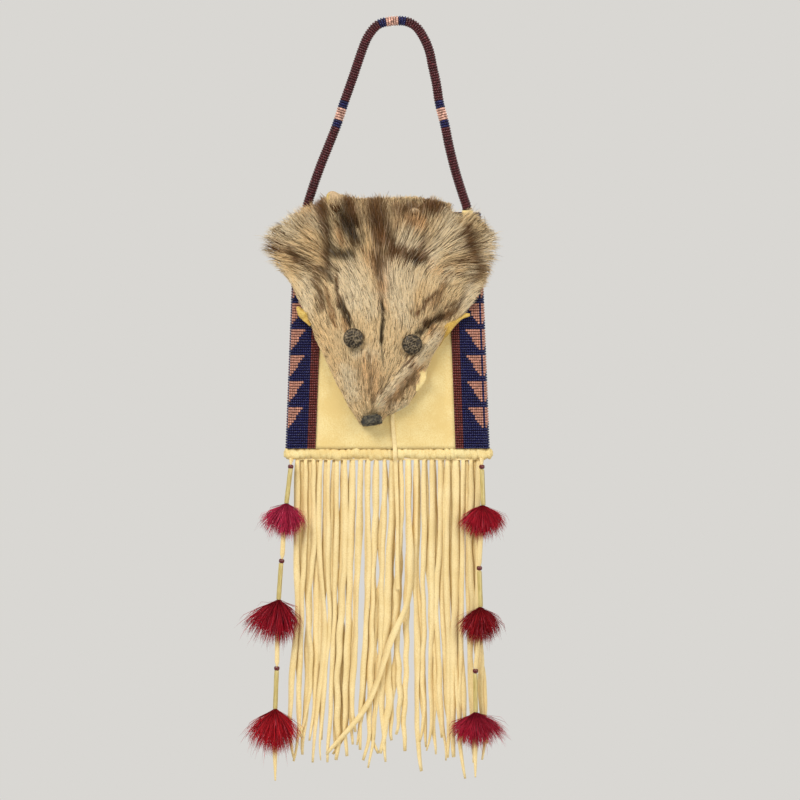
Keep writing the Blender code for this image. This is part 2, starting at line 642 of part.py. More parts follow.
def build():
    clear_scene()
    cream = (0.80, 0.68, 0.42)
    front_panel(material("front_hide", cream, 0.9))
    back_panel(material("back_hide", cream, 0.9))
    beaded_strip("left_beaded_strip", -1, LEFT_STRIP_FRONT, material("left_beadwork", (0.02, 0.02, 0.12), 0.3))
    beaded_strip("right_beaded_strip", 1, RIGHT_STRIP_FRONT, material("right_beadwork", (0.02, 0.02, 0.12), 0.3))
    lacing(material("lacing_hide", cream, 0.85))
    front_fringe(material("front_fringe_hide", cream, 0.85))
    back_fringe(material("back_fringe_hide", (0.70, 0.58, 0.34), 0.85))
    tie_thong(material("tie_hide", cream, 0.85))

    flap_hinge = pivot("flap_hinge", (BAG_CENTRE_X, HINGE_Y, HINGE_Z))
    flap = fur_flap(material("fur", (0.38, 0.29, 0.21), 0.9), flap_hinge)
    button("left_eye_button", LEFT_BUTTON, flap, material("left_pewter", (0.10, 0.09, 0.09), 0.45, 0.8), flap_hinge)
    button("right_eye_button", RIGHT_BUTTON, flap, material("right_pewter", (0.10, 0.09, 0.09), 0.45, 0.8), flap_hinge)

    cord("strap", [(x, 0.0, z) for x, z in STRAP_ROUTE], STRAP_RADIUS, 0.0075, 3,
         material("strap_beadwork", (0.10, 0.02, 0.02), 0.35))
    strap_tab("strap_tab_left", STRAP_ROUTE[0][0], material("left_tab_hide", cream, 0.85))
    strap_tab("strap_tab_right", STRAP_ROUTE[-1][0], material("right_tab_hide", cream, 0.85))

    for name, side, hand_points, pieces, tassels in (
        ("left", -1, LEFT_DROP_ROUTE, LEFT_DROP_PIECES, LEFT_TASSELS),
        ("right", 1, RIGHT_DROP_ROUTE, RIGHT_DROP_PIECES, RIGHT_TASSELS),
    ):
        points = drop_points(side, hand_points)
        swing = pivot(name + "_drop_swing", points[0])
        mats = {
            "thong": material(name + "_thong_hide", cream, 0.85),
            "bead": material(name + "_red_glass", (0.15, 0.01, 0.01), 0.15),
            "tube": material(name + "_straw_tube", (0.42, 0.36, 0.12), 0.35),
            "tassel": material(name + "_red_hair", (0.30, 0.01, 0.02), 0.8),
        }
        drop(name, points, pieces, tassels, mats, swing)


build()
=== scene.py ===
# Beaded medicine bag, dressed for the shelf: hide, glass beads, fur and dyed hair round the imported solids.
import math

import bmesh
import bpy
import numpy as np
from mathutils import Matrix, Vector
from mathutils.bvhtree import BVHTree
from mathutils.kdtree import KDTree


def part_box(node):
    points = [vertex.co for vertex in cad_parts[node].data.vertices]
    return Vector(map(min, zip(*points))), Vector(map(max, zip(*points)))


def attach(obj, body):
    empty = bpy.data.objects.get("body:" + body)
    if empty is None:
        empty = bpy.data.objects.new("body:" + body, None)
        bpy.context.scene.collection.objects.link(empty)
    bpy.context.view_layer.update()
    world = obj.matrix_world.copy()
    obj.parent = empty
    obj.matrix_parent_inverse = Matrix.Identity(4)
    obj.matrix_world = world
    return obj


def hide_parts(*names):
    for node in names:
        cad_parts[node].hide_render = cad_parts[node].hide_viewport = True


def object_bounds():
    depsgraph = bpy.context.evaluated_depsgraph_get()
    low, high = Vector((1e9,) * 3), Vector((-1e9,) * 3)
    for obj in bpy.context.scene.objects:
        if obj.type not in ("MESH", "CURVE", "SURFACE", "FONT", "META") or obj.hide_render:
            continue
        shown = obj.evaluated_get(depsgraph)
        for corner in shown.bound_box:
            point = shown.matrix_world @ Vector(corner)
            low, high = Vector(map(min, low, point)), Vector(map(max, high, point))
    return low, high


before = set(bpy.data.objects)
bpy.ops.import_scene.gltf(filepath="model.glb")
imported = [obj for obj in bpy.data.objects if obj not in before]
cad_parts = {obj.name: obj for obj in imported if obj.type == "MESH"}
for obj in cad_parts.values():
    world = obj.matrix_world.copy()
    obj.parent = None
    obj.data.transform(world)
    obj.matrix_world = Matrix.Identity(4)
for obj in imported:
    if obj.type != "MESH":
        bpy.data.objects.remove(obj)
cad_box = [list(corner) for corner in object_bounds()]

# Camera, floor and lights. The bag hangs free, seen level from the front at the photograph's scale,
# so the frame is 0.6 m across; the floor is a pale round table 0.1 m below the fringe.
MM_PER_PIXEL = 0.75
FRAME_WIDTH = 800 * MM_PER_PIXEL / 1000
VIEW_CENTRE = (0.00375, -0.2805)
CAMERA_DISTANCE = 1.5
SENSOR_WIDTH = 36
LIGHT_AIM = (0, 0, -0.28)
FLOOR_Z = cad_box[0][2] - 0.105
FLOOR_RADIUS = 0.42

bpy.ops.object.camera_add(location=(VIEW_CENTRE[0], -CAMERA_DISTANCE, VIEW_CENTRE[1]),
                          rotation=(math.pi / 2, 0, 0))
camera = bpy.context.object
camera.data.sensor_width = SENSOR_WIDTH
camera.data.lens = SENSOR_WIDTH * CAMERA_DISTANCE / FRAME_WIDTH
bpy.context.scene.camera = camera
bpy.context.scene.view_settings.view_transform = "Standard"


def linear(hex_colour):
    """An sRGB hex colour as linear RGBA."""
    parts = [int(hex_colour[i:i + 2], 16) / 255 for i in (1, 3, 5)]
    return (*[p / 12.92 if p <= 0.04045 else ((p + 0.055) / 1.055) ** 2.4 for p in parts], 1.0)


def add_node(tree, kind, inputs=None, **settings):
    """A node with its settings, and its inputs set to values or joined to other nodes' outputs."""
    node = tree.nodes.new(kind)
    for name, value in settings.items():
        setattr(node, name, value)
    for name, value in (inputs or {}).items():
        if isinstance(value, bpy.types.NodeSocket):
            tree.links.new(value, node.inputs[name])
        else:
            node.inputs[name].default_value = value
    return node


def soft_light(name, place, size, power):
    """A square lamp that faces the middle of the bag."""
    bpy.ops.object.light_add(type="AREA", location=place)
    lamp = bpy.context.object
    lamp.name = name
    lamp.rotation_euler = (Vector(LIGHT_AIM) - Vector(place)).to_track_quat("-Z", "Y").to_euler()
    lamp.data.size = size
    lamp.data.energy = power


soft_light("key_light", (-0.9, -1.5, 0.9), 0.9, 33)
soft_light("fill_light", (1.3, -1.3, 0.1), 1.2, 14.5)
soft_light("back_light", (0.3, 1.6, 0.6), 1.2, 12)

# The room is pale where the camera, glass or metal sees it, and dimmer where it lights the bag.
world = bpy.data.worlds.new("studio")
bpy.context.scene.world = world
world.use_nodes = True
sky = world.node_tree
sky.nodes.clear()
ray = add_node(sky, "ShaderNodeLightPath").outputs
mirrored = add_node(sky, "ShaderNodeMath", {0: ray["Is Glossy Ray"], 1: ray["Is Transmission Ray"]},
                    operation="MAXIMUM")
seen = add_node(sky, "ShaderNodeMath", {0: ray["Is Camera Ray"], 1: mirrored.outputs[0]},
                operation="MAXIMUM")
dim_room = add_node(sky, "ShaderNodeBackground", {"Color": linear("#f2f0ec"), "Strength": 0.42})
pale_room = add_node(sky, "ShaderNodeBackground", {"Color": linear("#d9d7d3"), "Strength": 1.0})
room = add_node(sky, "ShaderNodeMixShader",
                {0: seen.outputs[0], 1: dim_room.outputs[0], 2: pale_room.outputs[0]})
add_node(sky, "ShaderNodeOutputWorld", {"Surface": room.outputs[0]})


def principled(name, **sockets):
    """A material with a Principled shader; gives the material, its tree and its shader."""
    material = bpy.data.materials.new(name)
    material.use_nodes = True
    shader = material.node_tree.nodes["Principled BSDF"]
    for socket, value in sockets.items():
        shader.inputs[socket.replace("_", " ")].default_value = value
    return material, material.node_tree, shader


bpy.ops.mesh.primitive_circle_add(vertices=96, radius=FLOOR_RADIUS, fill_type="NGON",
                                  location=(0, 0, FLOOR_Z))
floor = bpy.context.object
floor.name = "pale_floor"
floor_paint, _, _ = principled("pale_floor_paint", Base_Color=linear("#d8d6d2"), Roughness=0.9)
floor.data.materials.append(floor_paint)


# Strap: a rope about 7.5 mm thick wound with a thread of seed beads, 14 to a ring, the dark rope just
# showing between the rings. Oxblood glass, with a blue, pink and blue band at the top and on each leg.
STRAP_THICKNESS = 0.0075
STRAP_CORE_RADIUS = 0.0029
STRAP_BEAD_LENGTH = 0.00150
STRAP_BEAD_RADIUS = 0.00086
STRAP_RING_PITCH = 0.00188
STRAP_BEADS_AROUND = 14
RING_SHIFT = 0.37  # each ring starts this share of a bead further round than the last
BEAD_SIDES = 6
BAND_HEIGHT_ON_LEGS = -0.0660
BAND_X_AT_TOP = -0.0013
PINK_HALF_LENGTH = 0.0050
BLUE_HALF_LENGTH = 0.0113
# The rope's middle line from its left end to its right one: across and up, in metres.
STRAP_ROUTE = [
    (-0.0664, -0.1391), (-0.0661, -0.1360), (-0.0630, -0.1255), (-0.0568, -0.1075), (-0.0439, -0.0748),
    (-0.0383, -0.0578), (-0.0313, -0.0379), (-0.0240, -0.0165), (-0.0198, -0.0071), (-0.0126, 0.0011),
    (-0.0019, 0.0037), (0.0082, 0.0035), (0.0154, -0.0001), (0.0210, -0.0077), (0.0255, -0.0178),
    (0.0283, -0.0308), (0.0311, -0.0435), (0.0333, -0.0578), (0.0375, -0.0745), (0.0405, -0.0896),
    (0.0455, -0.1095), (0.0516, -0.1290), (0.0540, -0.1360), (0.0542, -0.1391),
]
# Painted shade and light: the strap's oxblood is the strips' border red glass made darker, and its pink is
# the strips' salmon glass made lighter for its glints.
SHADED_OXBLOOD = "#4e1d21"
NAVY = "#151749"
LIT_STRAP_PINK = "#d0a18e"


def smooth_route(points, spacing):
    """Evenly spaced points on a smooth curve through a cord's own points."""
    pts = np.array(points, float)
    pts = np.vstack([2 * pts[0] - pts[1], pts, 2 * pts[-1] - pts[-2]])
    fine = []
    for i in range(1, len(pts) - 2):
        p0, p1, p2, p3 = pts[i - 1:i + 3]
        gaps = [math.sqrt(np.linalg.norm(b - a)) for a, b in ((p0, p1), (p1, p2), (p2, p3))]
        t1, t2, t3 = np.cumsum(gaps)
        for t in np.linspace(t1, t2, 24, endpoint=False):
            a1 = (t1 - t) / t1 * p0 + t / t1 * p1
            a2 = (t2 - t) / (t2 - t1) * p1 + (t - t1) / (t2 - t1) * p2
            a3 = (t3 - t) / (t3 - t2) * p2 + (t - t2) / (t3 - t2) * p3
            b1 = (t2 - t) / t2 * a1 + t / t2 * a2
            b2 = (t3 - t) / (t3 - t1) * a2 + (t - t1) / (t3 - t1) * a3
            fine.append((t2 - t) / (t2 - t1) * b1 + (t - t1) / (t2 - t1) * b2)
    fine = np.array(fine + [pts[-2]])
    along = np.concatenate([[0], np.cumsum(np.linalg.norm(np.diff(fine, axis=0), axis=1))])
    wanted = np.linspace(0, along[-1], max(2, round(along[-1] / spacing)) + 1)
    return np.stack([np.interp(wanted, along, fine[:, axis]) for axis in range(3)], axis=1)


def unit(vectors):
    return vectors / np.linalg.norm(vectors, axis=-1, keepdims=True)


def mesh_object(name, points, face_sets, material):
    """A smooth mesh object from an array of points and arrays of faces, each with faces of one size."""
    points = np.asarray(points, float)
    mesh = bpy.data.meshes.new(name)
    mesh.vertices.add(len(points))
    mesh.vertices.foreach_set("co", points.ravel())
    face_sets = [np.asarray(faces, np.int32) for faces in face_sets]
    corners = np.concatenate([faces.ravel() for faces in face_sets])
    sizes = np.concatenate([np.full(len(faces), faces.shape[1]) for faces in face_sets])
    mesh.loops.add(len(corners))
    mesh.loops.foreach_set("vertex_index", corners)
    mesh.polygons.add(len(sizes))
    mesh.polygons.foreach_set("loop_start", np.concatenate([[0], np.cumsum(sizes)[:-1]]))
    mesh.update(calc_edges=True)
    mesh.polygons.foreach_set("use_smooth", np.full(len(sizes), True))
    mesh.materials.append(material)
    obj = bpy.data.objects.new(name, mesh)
    bpy.context.scene.collection.objects.link(obj)
    return obj


def paint(obj, name, colours):
    """One linear RGBA colour for each point of a mesh."""
    layer = obj.data.color_attributes.new(name, "FLOAT_COLOR", "POINT")
    layer.data.foreach_set("color", np.asarray(colours, np.float32).ravel())


def settle(obj, body, slot, *nodes):
    """The piece rides on its body and takes the place of its CAD nodes; slot is not used."""
    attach(obj, body)
    if nodes:
        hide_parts(*nodes)


def tube_faces(rings, sides):
    """Quads between rings of points that follow each other."""
    start = (np.arange(rings - 1)[:, None] * sides + np.arange(sides)[None, :]).ravel()
    turn = (np.arange(rings - 1)[:, None] * sides + (np.arange(sides)[None, :] + 1) % sides).ravel()
    return np.stack([start, turn, turn + sides, start + sides], axis=1)


def end_faces(rings, sides):
    """The two faces that close a tube at its first and its last ring."""
    return np.array([np.arange(sides)[::-1], np.arange(sides) + sides * (rings - 1)])


def painted_material(name, attribute, **sockets):
    """A material that takes its colour from the one painted on its mesh."""
    material, tree, shader = principled(name, **sockets)
    painted = add_node(tree, "ShaderNodeAttribute", attribute_name=attribute)
    tree.links.new(painted.outputs["Color"], shader.inputs["Base Color"])
    return material


# Opaque pressed glass seed beads, fire polished: small hard highlights and a slightly uneven colour.
bead_glass = painted_material("seed_bead_glass", "bead_colour", Roughness=0.2, Specular_IOR_Level=0.36)

# Waxed cotton rope and thread: dark, matt, only seen between the beads.
dark_thread, tree, shader = principled("dark_waxed_thread", Base_Color=linear("#2a1512"), Roughness=0.85)
place = add_node(tree, "ShaderNodeTexCoord").outputs["Object"]
ply = add_node(tree, "ShaderNodeTexNoise", {"Vector": place, "Scale": 2500.0})
lift = add_node(tree, "ShaderNodeBump", {"Height": ply.outputs["Fac"], "Strength": 0.4, "Distance": 0.0002})
tree.links.new(lift.outputs["Normal"], shader.inputs["Normal"])


def seed_beads(name, length, radius, centres, axes, outs, colours):
    """Many small barrel beads copied from one, each with its hole along its own axis and its own colour."""
    profile = [(-0.5, 0.55), (-0.3, 1.0), (0.3, 1.0), (0.5, 0.55)]
    turns = 2 * np.pi * np.arange(BEAD_SIDES) / BEAD_SIDES
    one = np.array([(x * length, radius * r * math.cos(t), radius * r * math.sin(t))
                    for x, r in profile for t in turns])
    axes, outs = unit(np.array(axes)), unit(np.array(outs))
    bases = np.stack([axes, outs, np.cross(axes, outs)], axis=1)
    points = np.einsum("vk,nkd->nvd", one, bases) + np.array(centres)[:, None, :]
    shift = (np.arange(len(centres)) * len(one))[:, None, None]
    quads = (tube_faces(len(profile), BEAD_SIDES)[None] + shift).reshape(-1, 4)
    caps = (end_faces(len(profile), BEAD_SIDES)[None] + shift).reshape(-1, BEAD_SIDES)
    beads = mesh_object(name, points.reshape(-1, 3), [quads, caps], bead_glass)
    paint(beads, "bead_colour", np.repeat(colours, len(one), axis=0))
    return beads


def jittered(hexes, spread, rng):
    """Each bead's own colour: a little lighter or darker than its kind."""
    colours = np.array([linear(h) for h in hexes])
    colours[:, :3] *= np.exp(rng.normal(0, spread, (len(colours), 1)))
    return colours


def curve_cord(name, points, radius, material):
    """A round cord along points, with filled ends."""
    curve = bpy.data.curves.new(name, "CURVE")
    curve.dimensions = "3D"
    curve.bevel_depth = radius
    curve.bevel_resolution = 3
    curve.use_fill_caps = True
    spline = curve.splines.new("POLY")
    spline.points.add(len(points) - 1)
    for dot, spot in zip(spline.points, points):
        dot.co = (*spot, 1.0)
    curve.materials.append(material)
    obj = bpy.data.objects.new(name, curve)
    bpy.context.scene.collection.objects.link(obj)
    return obj


rng = np.random.default_rng(11)
strap_line = smooth_route([(x, 0.0, z) for x, z in STRAP_ROUTE], 0.004)
strap_core = curve_cord("strap_core", strap_line, STRAP_CORE_RADIUS, dark_thread)

ring_line = smooth_route([(x, 0.0, z) for x, z in STRAP_ROUTE], STRAP_RING_PITCH)
ring_way = unit(np.gradient(ring_line, axis=0))
ring_along = np.concatenate([[0], np.cumsum(np.linalg.norm(np.diff(ring_line, axis=0), axis=1))])
top_ring = int(np.argmin(np.abs(ring_line[:, 0] - BAND_X_AT_TOP) + 10 * (ring_line[:, 2] < -0.01)))
left_ring = int(np.argmin(np.abs(ring_line[:top_ring, 2] - BAND_HEIGHT_ON_LEGS)))
right_ring = top_ring + int(np.argmin(np.abs(ring_line[top_ring:, 2] - BAND_HEIGHT_ON_LEGS)))
centres, axes, outs, hexes = [], [], [], []
for i in range(1, len(ring_line) - 1):
    off_band = min(abs(ring_along[i] - ring_along[k]) for k in (top_ring, left_ring, right_ring))
    colour = LIT_STRAP_PINK if off_band < PINK_HALF_LENGTH else NAVY if off_band < BLUE_HALF_LENGTH else SHADED_OXBLOOD
    way = ring_way[i]
    side_way = np.cross(way, (0, 1, 0))
    for k in range(STRAP_BEADS_AROUND):
        turn = 2 * math.pi * (k + RING_SHIFT * i) / STRAP_BEADS_AROUND
        out = math.cos(turn) * side_way + math.sin(turn) * np.array((0, 1, 0))
        centres.append(ring_line[i] + out * (STRAP_THICKNESS / 2 - STRAP_BEAD_RADIUS))
        axes.append(np.cross(way, out) + rng.normal(0, 0.05, 3))
        outs.append(out)
        hexes.append(colour)
strap_beads = seed_beads("strap_beads", STRAP_BEAD_LENGTH, STRAP_BEAD_RADIUS, centres, axes, outs,
                         jittered(hexes, 0.26, rng))
settle(strap_core, "pouch", "strap_beadwork", "strap")
settle(strap_beads, "pouch", "strap_beadwork")


# Drops: a flat strip of soft hide comes out of the lacing at each bottom corner. It runs through three
# red glass beads and three straw tubes, where it is pinched narrow, and carries a dyed hair tassel
# bound on under each tube.
BAG_X = float(sum(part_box("back_panel")[i][0] for i in (0, 1)) / 2)
HALF_BOTTOM = float(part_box("back_panel")[1][0]) - BAG_X
LACING_Z = float(sum(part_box("bottom_lacing")[i][2] for i in (0, 1)) / 2)
THONG_WIDTH = 0.0036
THONG_THICKNESS = 0.0011
PINCHED_WIDTH = 0.0015
PINCH_LENGTH = 0.003
POINTED_END = 0.030
CORD_START = 0.00300
# Each thong's middle line: outwards from the corner, front to back, and down from the lacing's middle.
LEFT_DROP_ROUTE = [
    (0.0002, -0.0050, 0.0045), (0.0002, -0.0066, 0.0053), (0.0003, -0.0073, 0.0065),
    (0.0004, -0.0073, 0.0089), (0.0034, -0.0074, 0.0349), (0.0056, -0.0074, 0.0564),
    (0.0068, -0.0074, 0.0769), (0.0075, -0.0074, 0.0819), (0.0094, -0.0074, 0.1089),
    (0.0103, -0.0074, 0.1339), (0.0107, -0.0074, 0.1584), (0.0109, -0.0074, 0.1619),
    (0.0119, -0.0074, 0.1899), (0.0122, -0.0074, 0.2139), (0.0119, -0.0074, 0.2434),
]
RIGHT_DROP_ROUTE = [
    (-0.0026, -0.0050, 0.0045), (-0.0026, -0.0066, 0.0054), (-0.0026, -0.0073, 0.0068),
    (-0.0025, -0.0073, 0.0114), (-0.0018, -0.0074, 0.0372), (-0.0032, -0.0074, 0.0589),
    (-0.0044, -0.0074, 0.0839), (-0.0044, -0.0074, 0.0879), (-0.0037, -0.0074, 0.1124),
    (-0.0052, -0.0074, 0.1389), (-0.0073, -0.0074, 0.1609), (-0.0074, -0.0074, 0.1644),
    (-0.0072, -0.0074, 0.1919), (-0.0074, -0.0074, 0.2139), (-0.0074, -0.0074, 0.2409),
]


def hide_material(name, colour, shade, nap=1.0):
    """Smoke-tanned hide, suede side out: matt, with a soft nap, faint stretch marks and mottled colour."""
    material, tree, shader = principled(name, Roughness=0.92, Specular_IOR_Level=0.1, Sheen_Weight=0.10,
                                        Sheen_Roughness=0.5)
    place = add_node(tree, "ShaderNodeTexCoord").outputs["Object"]
    mottle = add_node(tree, "ShaderNodeTexNoise", {"Vector": place, "Scale": 55.0, "Detail": 5.0})
    fibre = add_node(tree, "ShaderNodeTexNoise", {"Vector": place, "Scale": 1000.0, "Detail": 4.0})
    mixed = add_node(tree, "ShaderNodeMath", {0: mottle.outputs["Fac"], 1: fibre.outputs["Fac"]},
                     operation="MULTIPLY")
    tint = add_node(tree, "ShaderNodeMapRange",
                    {"Value": mixed.outputs[0], "From Min": 0.16, "From Max": 0.36})
    colour_mix = add_node(tree, "ShaderNodeMix", {0: tint.outputs[0], 6: linear(shade), 7: linear(colour)},
                          data_type="RGBA")
    tree.links.new(colour_mix.outputs[2], shader.inputs["Base Color"])
    pull = add_node(tree, "ShaderNodeBump",
                    {"Height": mottle.outputs["Fac"], "Strength": 0.35, "Distance": 0.0015})
    lift = add_node(tree, "ShaderNodeBump", {"Height": fibre.outputs["Fac"], "Strength": 0.45 * nap,
                                             "Distance": 0.0004, "Normal": pull.outputs["Normal"]})
    tree.links.new(lift.outputs["Normal"], shader.inputs["Normal"])
    return material


strip_hide = hide_material("cut_strip_hide", "#f7e0a8", "#eacf92", nap=1.4)


def ribbon(line, widths, thicknesses, facing, sides):
    """Rings of points round a flat strip with rounded edges; facing is the way its flat side looks."""
    way = unit(np.gradient(line, axis=0))
    flat = unit(facing - way * np.sum(facing * way, axis=1, keepdims=True))
    edge = np.cross(way, flat)
    turns = 2 * np.pi * (np.arange(sides) + 0.5) / sides
    across = np.sign(np.cos(turns)) * np.abs(np.cos(turns)) ** 0.55
    up = np.sign(np.sin(turns)) * np.abs(np.sin(turns)) ** 0.75
    rings = (line[:, None, :] + edge[:, None, :] * (across[None, :, None] * widths[:, None, None] / 2)
             + flat[:, None, :] * (up[None, :, None] * thicknesses[:, None, None] / 2))
    return rings.reshape(-1, 3)


def strip_object(name, strips, material, sides=8):
    """One mesh of several closed strips, each given as (line, widths, thicknesses, facing)."""
    points, quads, caps, count = [], [], [], 0
    for line, widths, thicknesses, facing in strips:
        points.append(ribbon(line, widths, thicknesses, facing, sides))
        quads.append(tube_faces(len(line), sides) + count)
        caps.append(end_faces(len(line), sides) + count)
        count += len(line) * sides
    faces = [np.concatenate(quads), np.concatenate(caps)]
    return mesh_object(name, np.concatenate(points), faces, material)


def drop_line(side, hand_points):
    """A thong's middle line, from inside the lacing down to its free end."""
    corner_x = BAG_X + side * HALF_BOTTOM
    points = [(corner_x + side * hand_points[0][0], -CORD_START, LACING_Z - CORD_START)]
    points += [(corner_x + side * out, y, LACING_Z - down) for out, y, down in hand_points]
    return smooth_route(points, 0.0012)


def inside_pieces(line, nodes, margin):
    """For each point of a thong, 1 where it runs inside a bead or tube, easing to 0 within a margin."""
    held = np.zeros(len(line))
    for node in nodes:
        low, high = (corner[2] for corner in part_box(node))
        away = np.maximum(low - line[:, 2], line[:, 2] - high)
        held = np.maximum(held, np.clip(1 - away / margin, 0, 1))
    return held


def outward(obj):
    """Turns every face of a closed mesh outwards."""
    shape = bmesh.new()
    shape.from_mesh(obj.data)
    bmesh.ops.recalc_face_normals(shape, faces=shape.faces[:])
    shape.to_mesh(obj.data)
    shape.free()


def turned_piece(name, profile, centre, axis, material, sides=20):
    """A turned piece with a bore: its closed profile of (radius, height) spun round its own axis."""
    axis = Vector(axis).normalized()
    side = axis.orthogonal().normalized()
    front = axis.cross(side)
    points = []
    for radius, height in profile:
        for k in range(sides):
            turn = 2 * math.pi * k / sides
            out = side * math.cos(turn) + front * math.sin(turn)
            points.append(tuple(Vector(centre) + axis * height + out * radius))
    last = (len(profile) - 1) * sides
    joint = np.array([(last + k, last + (k + 1) % sides, (k + 1) % sides, k) for k in range(sides)])
    piece = mesh_object(name, points, [np.concatenate([tube_faces(len(profile), sides), joint])], material)
    outward(piece)
    return piece


def middle_of(node):
    low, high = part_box(node)
    return (low + high) / 2


def on_line(line, z):
    """Where a hanging line passes a height, and which way it runs down there."""
    i = int(np.argmin(np.abs(line[:, 2] - z)))
    a, b = line[max(0, i - 3)], line[min(len(line) - 1, i + 3)]
    return line[i], unit(b - a)


# Red beads: one above each straw tube, pressed from glass with rounded ends, with a bore that the
# pinched thong fills.
RED_BEAD_RADIUS = 0.0021
RED_BEAD_HALF_LENGTH = 0.0015
RED_BEAD_BORE = 0.0011

# Translucent dark red glass, fire polished: nearly black in its body with one hard highlight.
red_glass, tree, shader = principled("dark_red_glass", Base_Color=linear("#5e0f12"), IOR=1.55)
place = add_node(tree, "ShaderNodeTexCoord").outputs["Object"]
swirl = add_node(tree, "ShaderNodeTexNoise", {"Vector": place, "Scale": 700.0})
depth = add_node(tree, "ShaderNodeMapRange",
                 {"Value": swirl.outputs["Fac"], "To Min": 0.05, "To Max": 0.16})
tree.links.new(depth.outputs[0], shader.inputs["Roughness"])


def red_bead(node, name, line):
    """A bored glass bead with rounded ends, strung on the thong."""
    spot, way = on_line(line, middle_of(node).z)
    r, h = RED_BEAD_RADIUS, RED_BEAD_HALF_LENGTH
    outside = [(0.7, -1), (0.9, -0.75), (1, -0.3), (1, 0.3), (0.9, 0.75), (0.7, 1)]
    profile = [(RED_BEAD_BORE, -h)] + [(r * out, h * up) for out, up in outside] + [(RED_BEAD_BORE, h)]
    return turned_piece(name, profile, spot, way, red_glass)


# Straw tubes: hollow stems cut to length and slid over the thong, each a little lumpy from its own
# growth.
STRAW_RADIUS = 0.00175
STRAW_BORE = 0.0012
STRAW_WOBBLE = (0.0, 0.00006, -0.00004, 0.00005, 0.0)

# Dried straw: pale olive and waxy, with fine lines along the stem about 0.3 mm apart.
straw, tree, shader = principled("dried_straw", Roughness=0.3, Specular_IOR_Level=0.7)
place = add_node(tree, "ShaderNodeTexCoord").outputs["Object"]
squeezed = add_node(tree, "ShaderNodeMapping", {"Vector": place, "Scale": (3200.0, 3200.0, 90.0)})
lines = add_node(tree, "ShaderNodeTexNoise", {"Vector": squeezed.outputs[0], "Scale": 1.0, "Detail": 3.0})
straw_colours = add_node(tree, "ShaderNodeValToRGB", {"Fac": lines.outputs["Fac"]})
straw_stops = ((0.35, "#aa9248"), (0.65, "#ddcb87"))
for stop, (position, colour) in zip(straw_colours.color_ramp.elements, straw_stops):
    stop.position = position
    stop.color = linear(colour)
tree.links.new(straw_colours.outputs["Color"], shader.inputs["Base Color"])
lift = add_node(tree, "ShaderNodeBump",
                {"Height": lines.outputs["Fac"], "Strength": 0.5, "Distance": 0.0002})
tree.links.new(lift.outputs["Normal"], shader.inputs["Normal"])


def straw_tube(node, name, line):
    """A cut length of straw on the thong, not quite even in thickness."""
    low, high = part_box(node)
    way = on_line(line, (low.z + high.z) / 2)[1]
    h, r = (high.z - low.z) / 2, STRAW_RADIUS
    profile = [(STRAW_BORE, -h), (r * 0.94, -h)]
    profile += [(r + more, -h * 0.97 + h * 1.94 * k / 4) for k, more in enumerate(STRAW_WOBBLE)]
    profile += [(r * 0.94, h), (STRAW_BORE, h)]
    return turned_piece(name, profile, middle_of(node), way, straw, sides=14)


# Tassels: bunches of dyed hair bound round the thong at a tube's foot. The hair stands out from the
# binding, arches and droops.
TASSEL_HAIRS = 1400
TASSEL_CLUMPS = 40
TASSEL_REDS = {"left": ["#ab2746", "#940e20", "#a2121e"], "right": ["#9d1325", "#840a15", "#9b172e"]}
FADED_RED = "#e58a9c"

# Dyed horse hair: stiff, slightly shiny, its red uneven where the dye took less.
dyed_hair = painted_material("dyed_red_hair", "hair_colour", Roughness=0.5, Specular_IOR_Level=0.18)


def rgb(hex_colour):
    """An sRGB hex colour as three linear numbers."""
    return np.array(linear(hex_colour))[:3]


def hair_tufts(name, roots, middles, ends, tips, widths, colours, material):
    """Many hairs, each a thin three-sided spike through four points, coloured root to tip by the colours
    given.
    """
    count = len(roots)
    rings = np.stack([roots, middles, ends], axis=1)
    shares = np.array([0.8, 1.0, 0.75])
    ways = unit(np.stack([middles - roots, tips - roots, tips - middles], axis=1))
    sides = unit(np.cross(ways, np.array([0.31, 0.9, 0.29])))
    fronts = np.cross(ways, sides)
    points = []
    for k in range(3):
        turn = 2 * math.pi * k / 3 + 0.5
        offset = sides * math.cos(turn) + fronts * math.sin(turn)
        points.append(rings + offset * (widths[:, None, None] / 2) * shares[None, :, None])
    points = np.stack(points, axis=2).reshape(count, 9, 3)
    points = np.concatenate([points, tips[:, None, :]], axis=1)
    shift = (np.arange(count) * 10)[:, None, None]
    quads = np.array([(r * 3 + k, r * 3 + (k + 1) % 3, r * 3 + 3 + (k + 1) % 3, r * 3 + 3 + k)
                      for r in range(2) for k in range(3)])
    ends_on = np.array([(6, 7, 9), (7, 8, 9), (8, 6, 9), (2, 1, 0)])
    faces = [(quads[None] + shift).reshape(-1, 4), (ends_on[None] + shift).reshape(-1, 3)]
    hairs = mesh_object(name, points.reshape(-1, 3), faces, material)
    paint(hairs, "hair_colour", np.repeat(colours, [3, 3, 3, 1], axis=1).reshape(-1, 4))
    return hairs


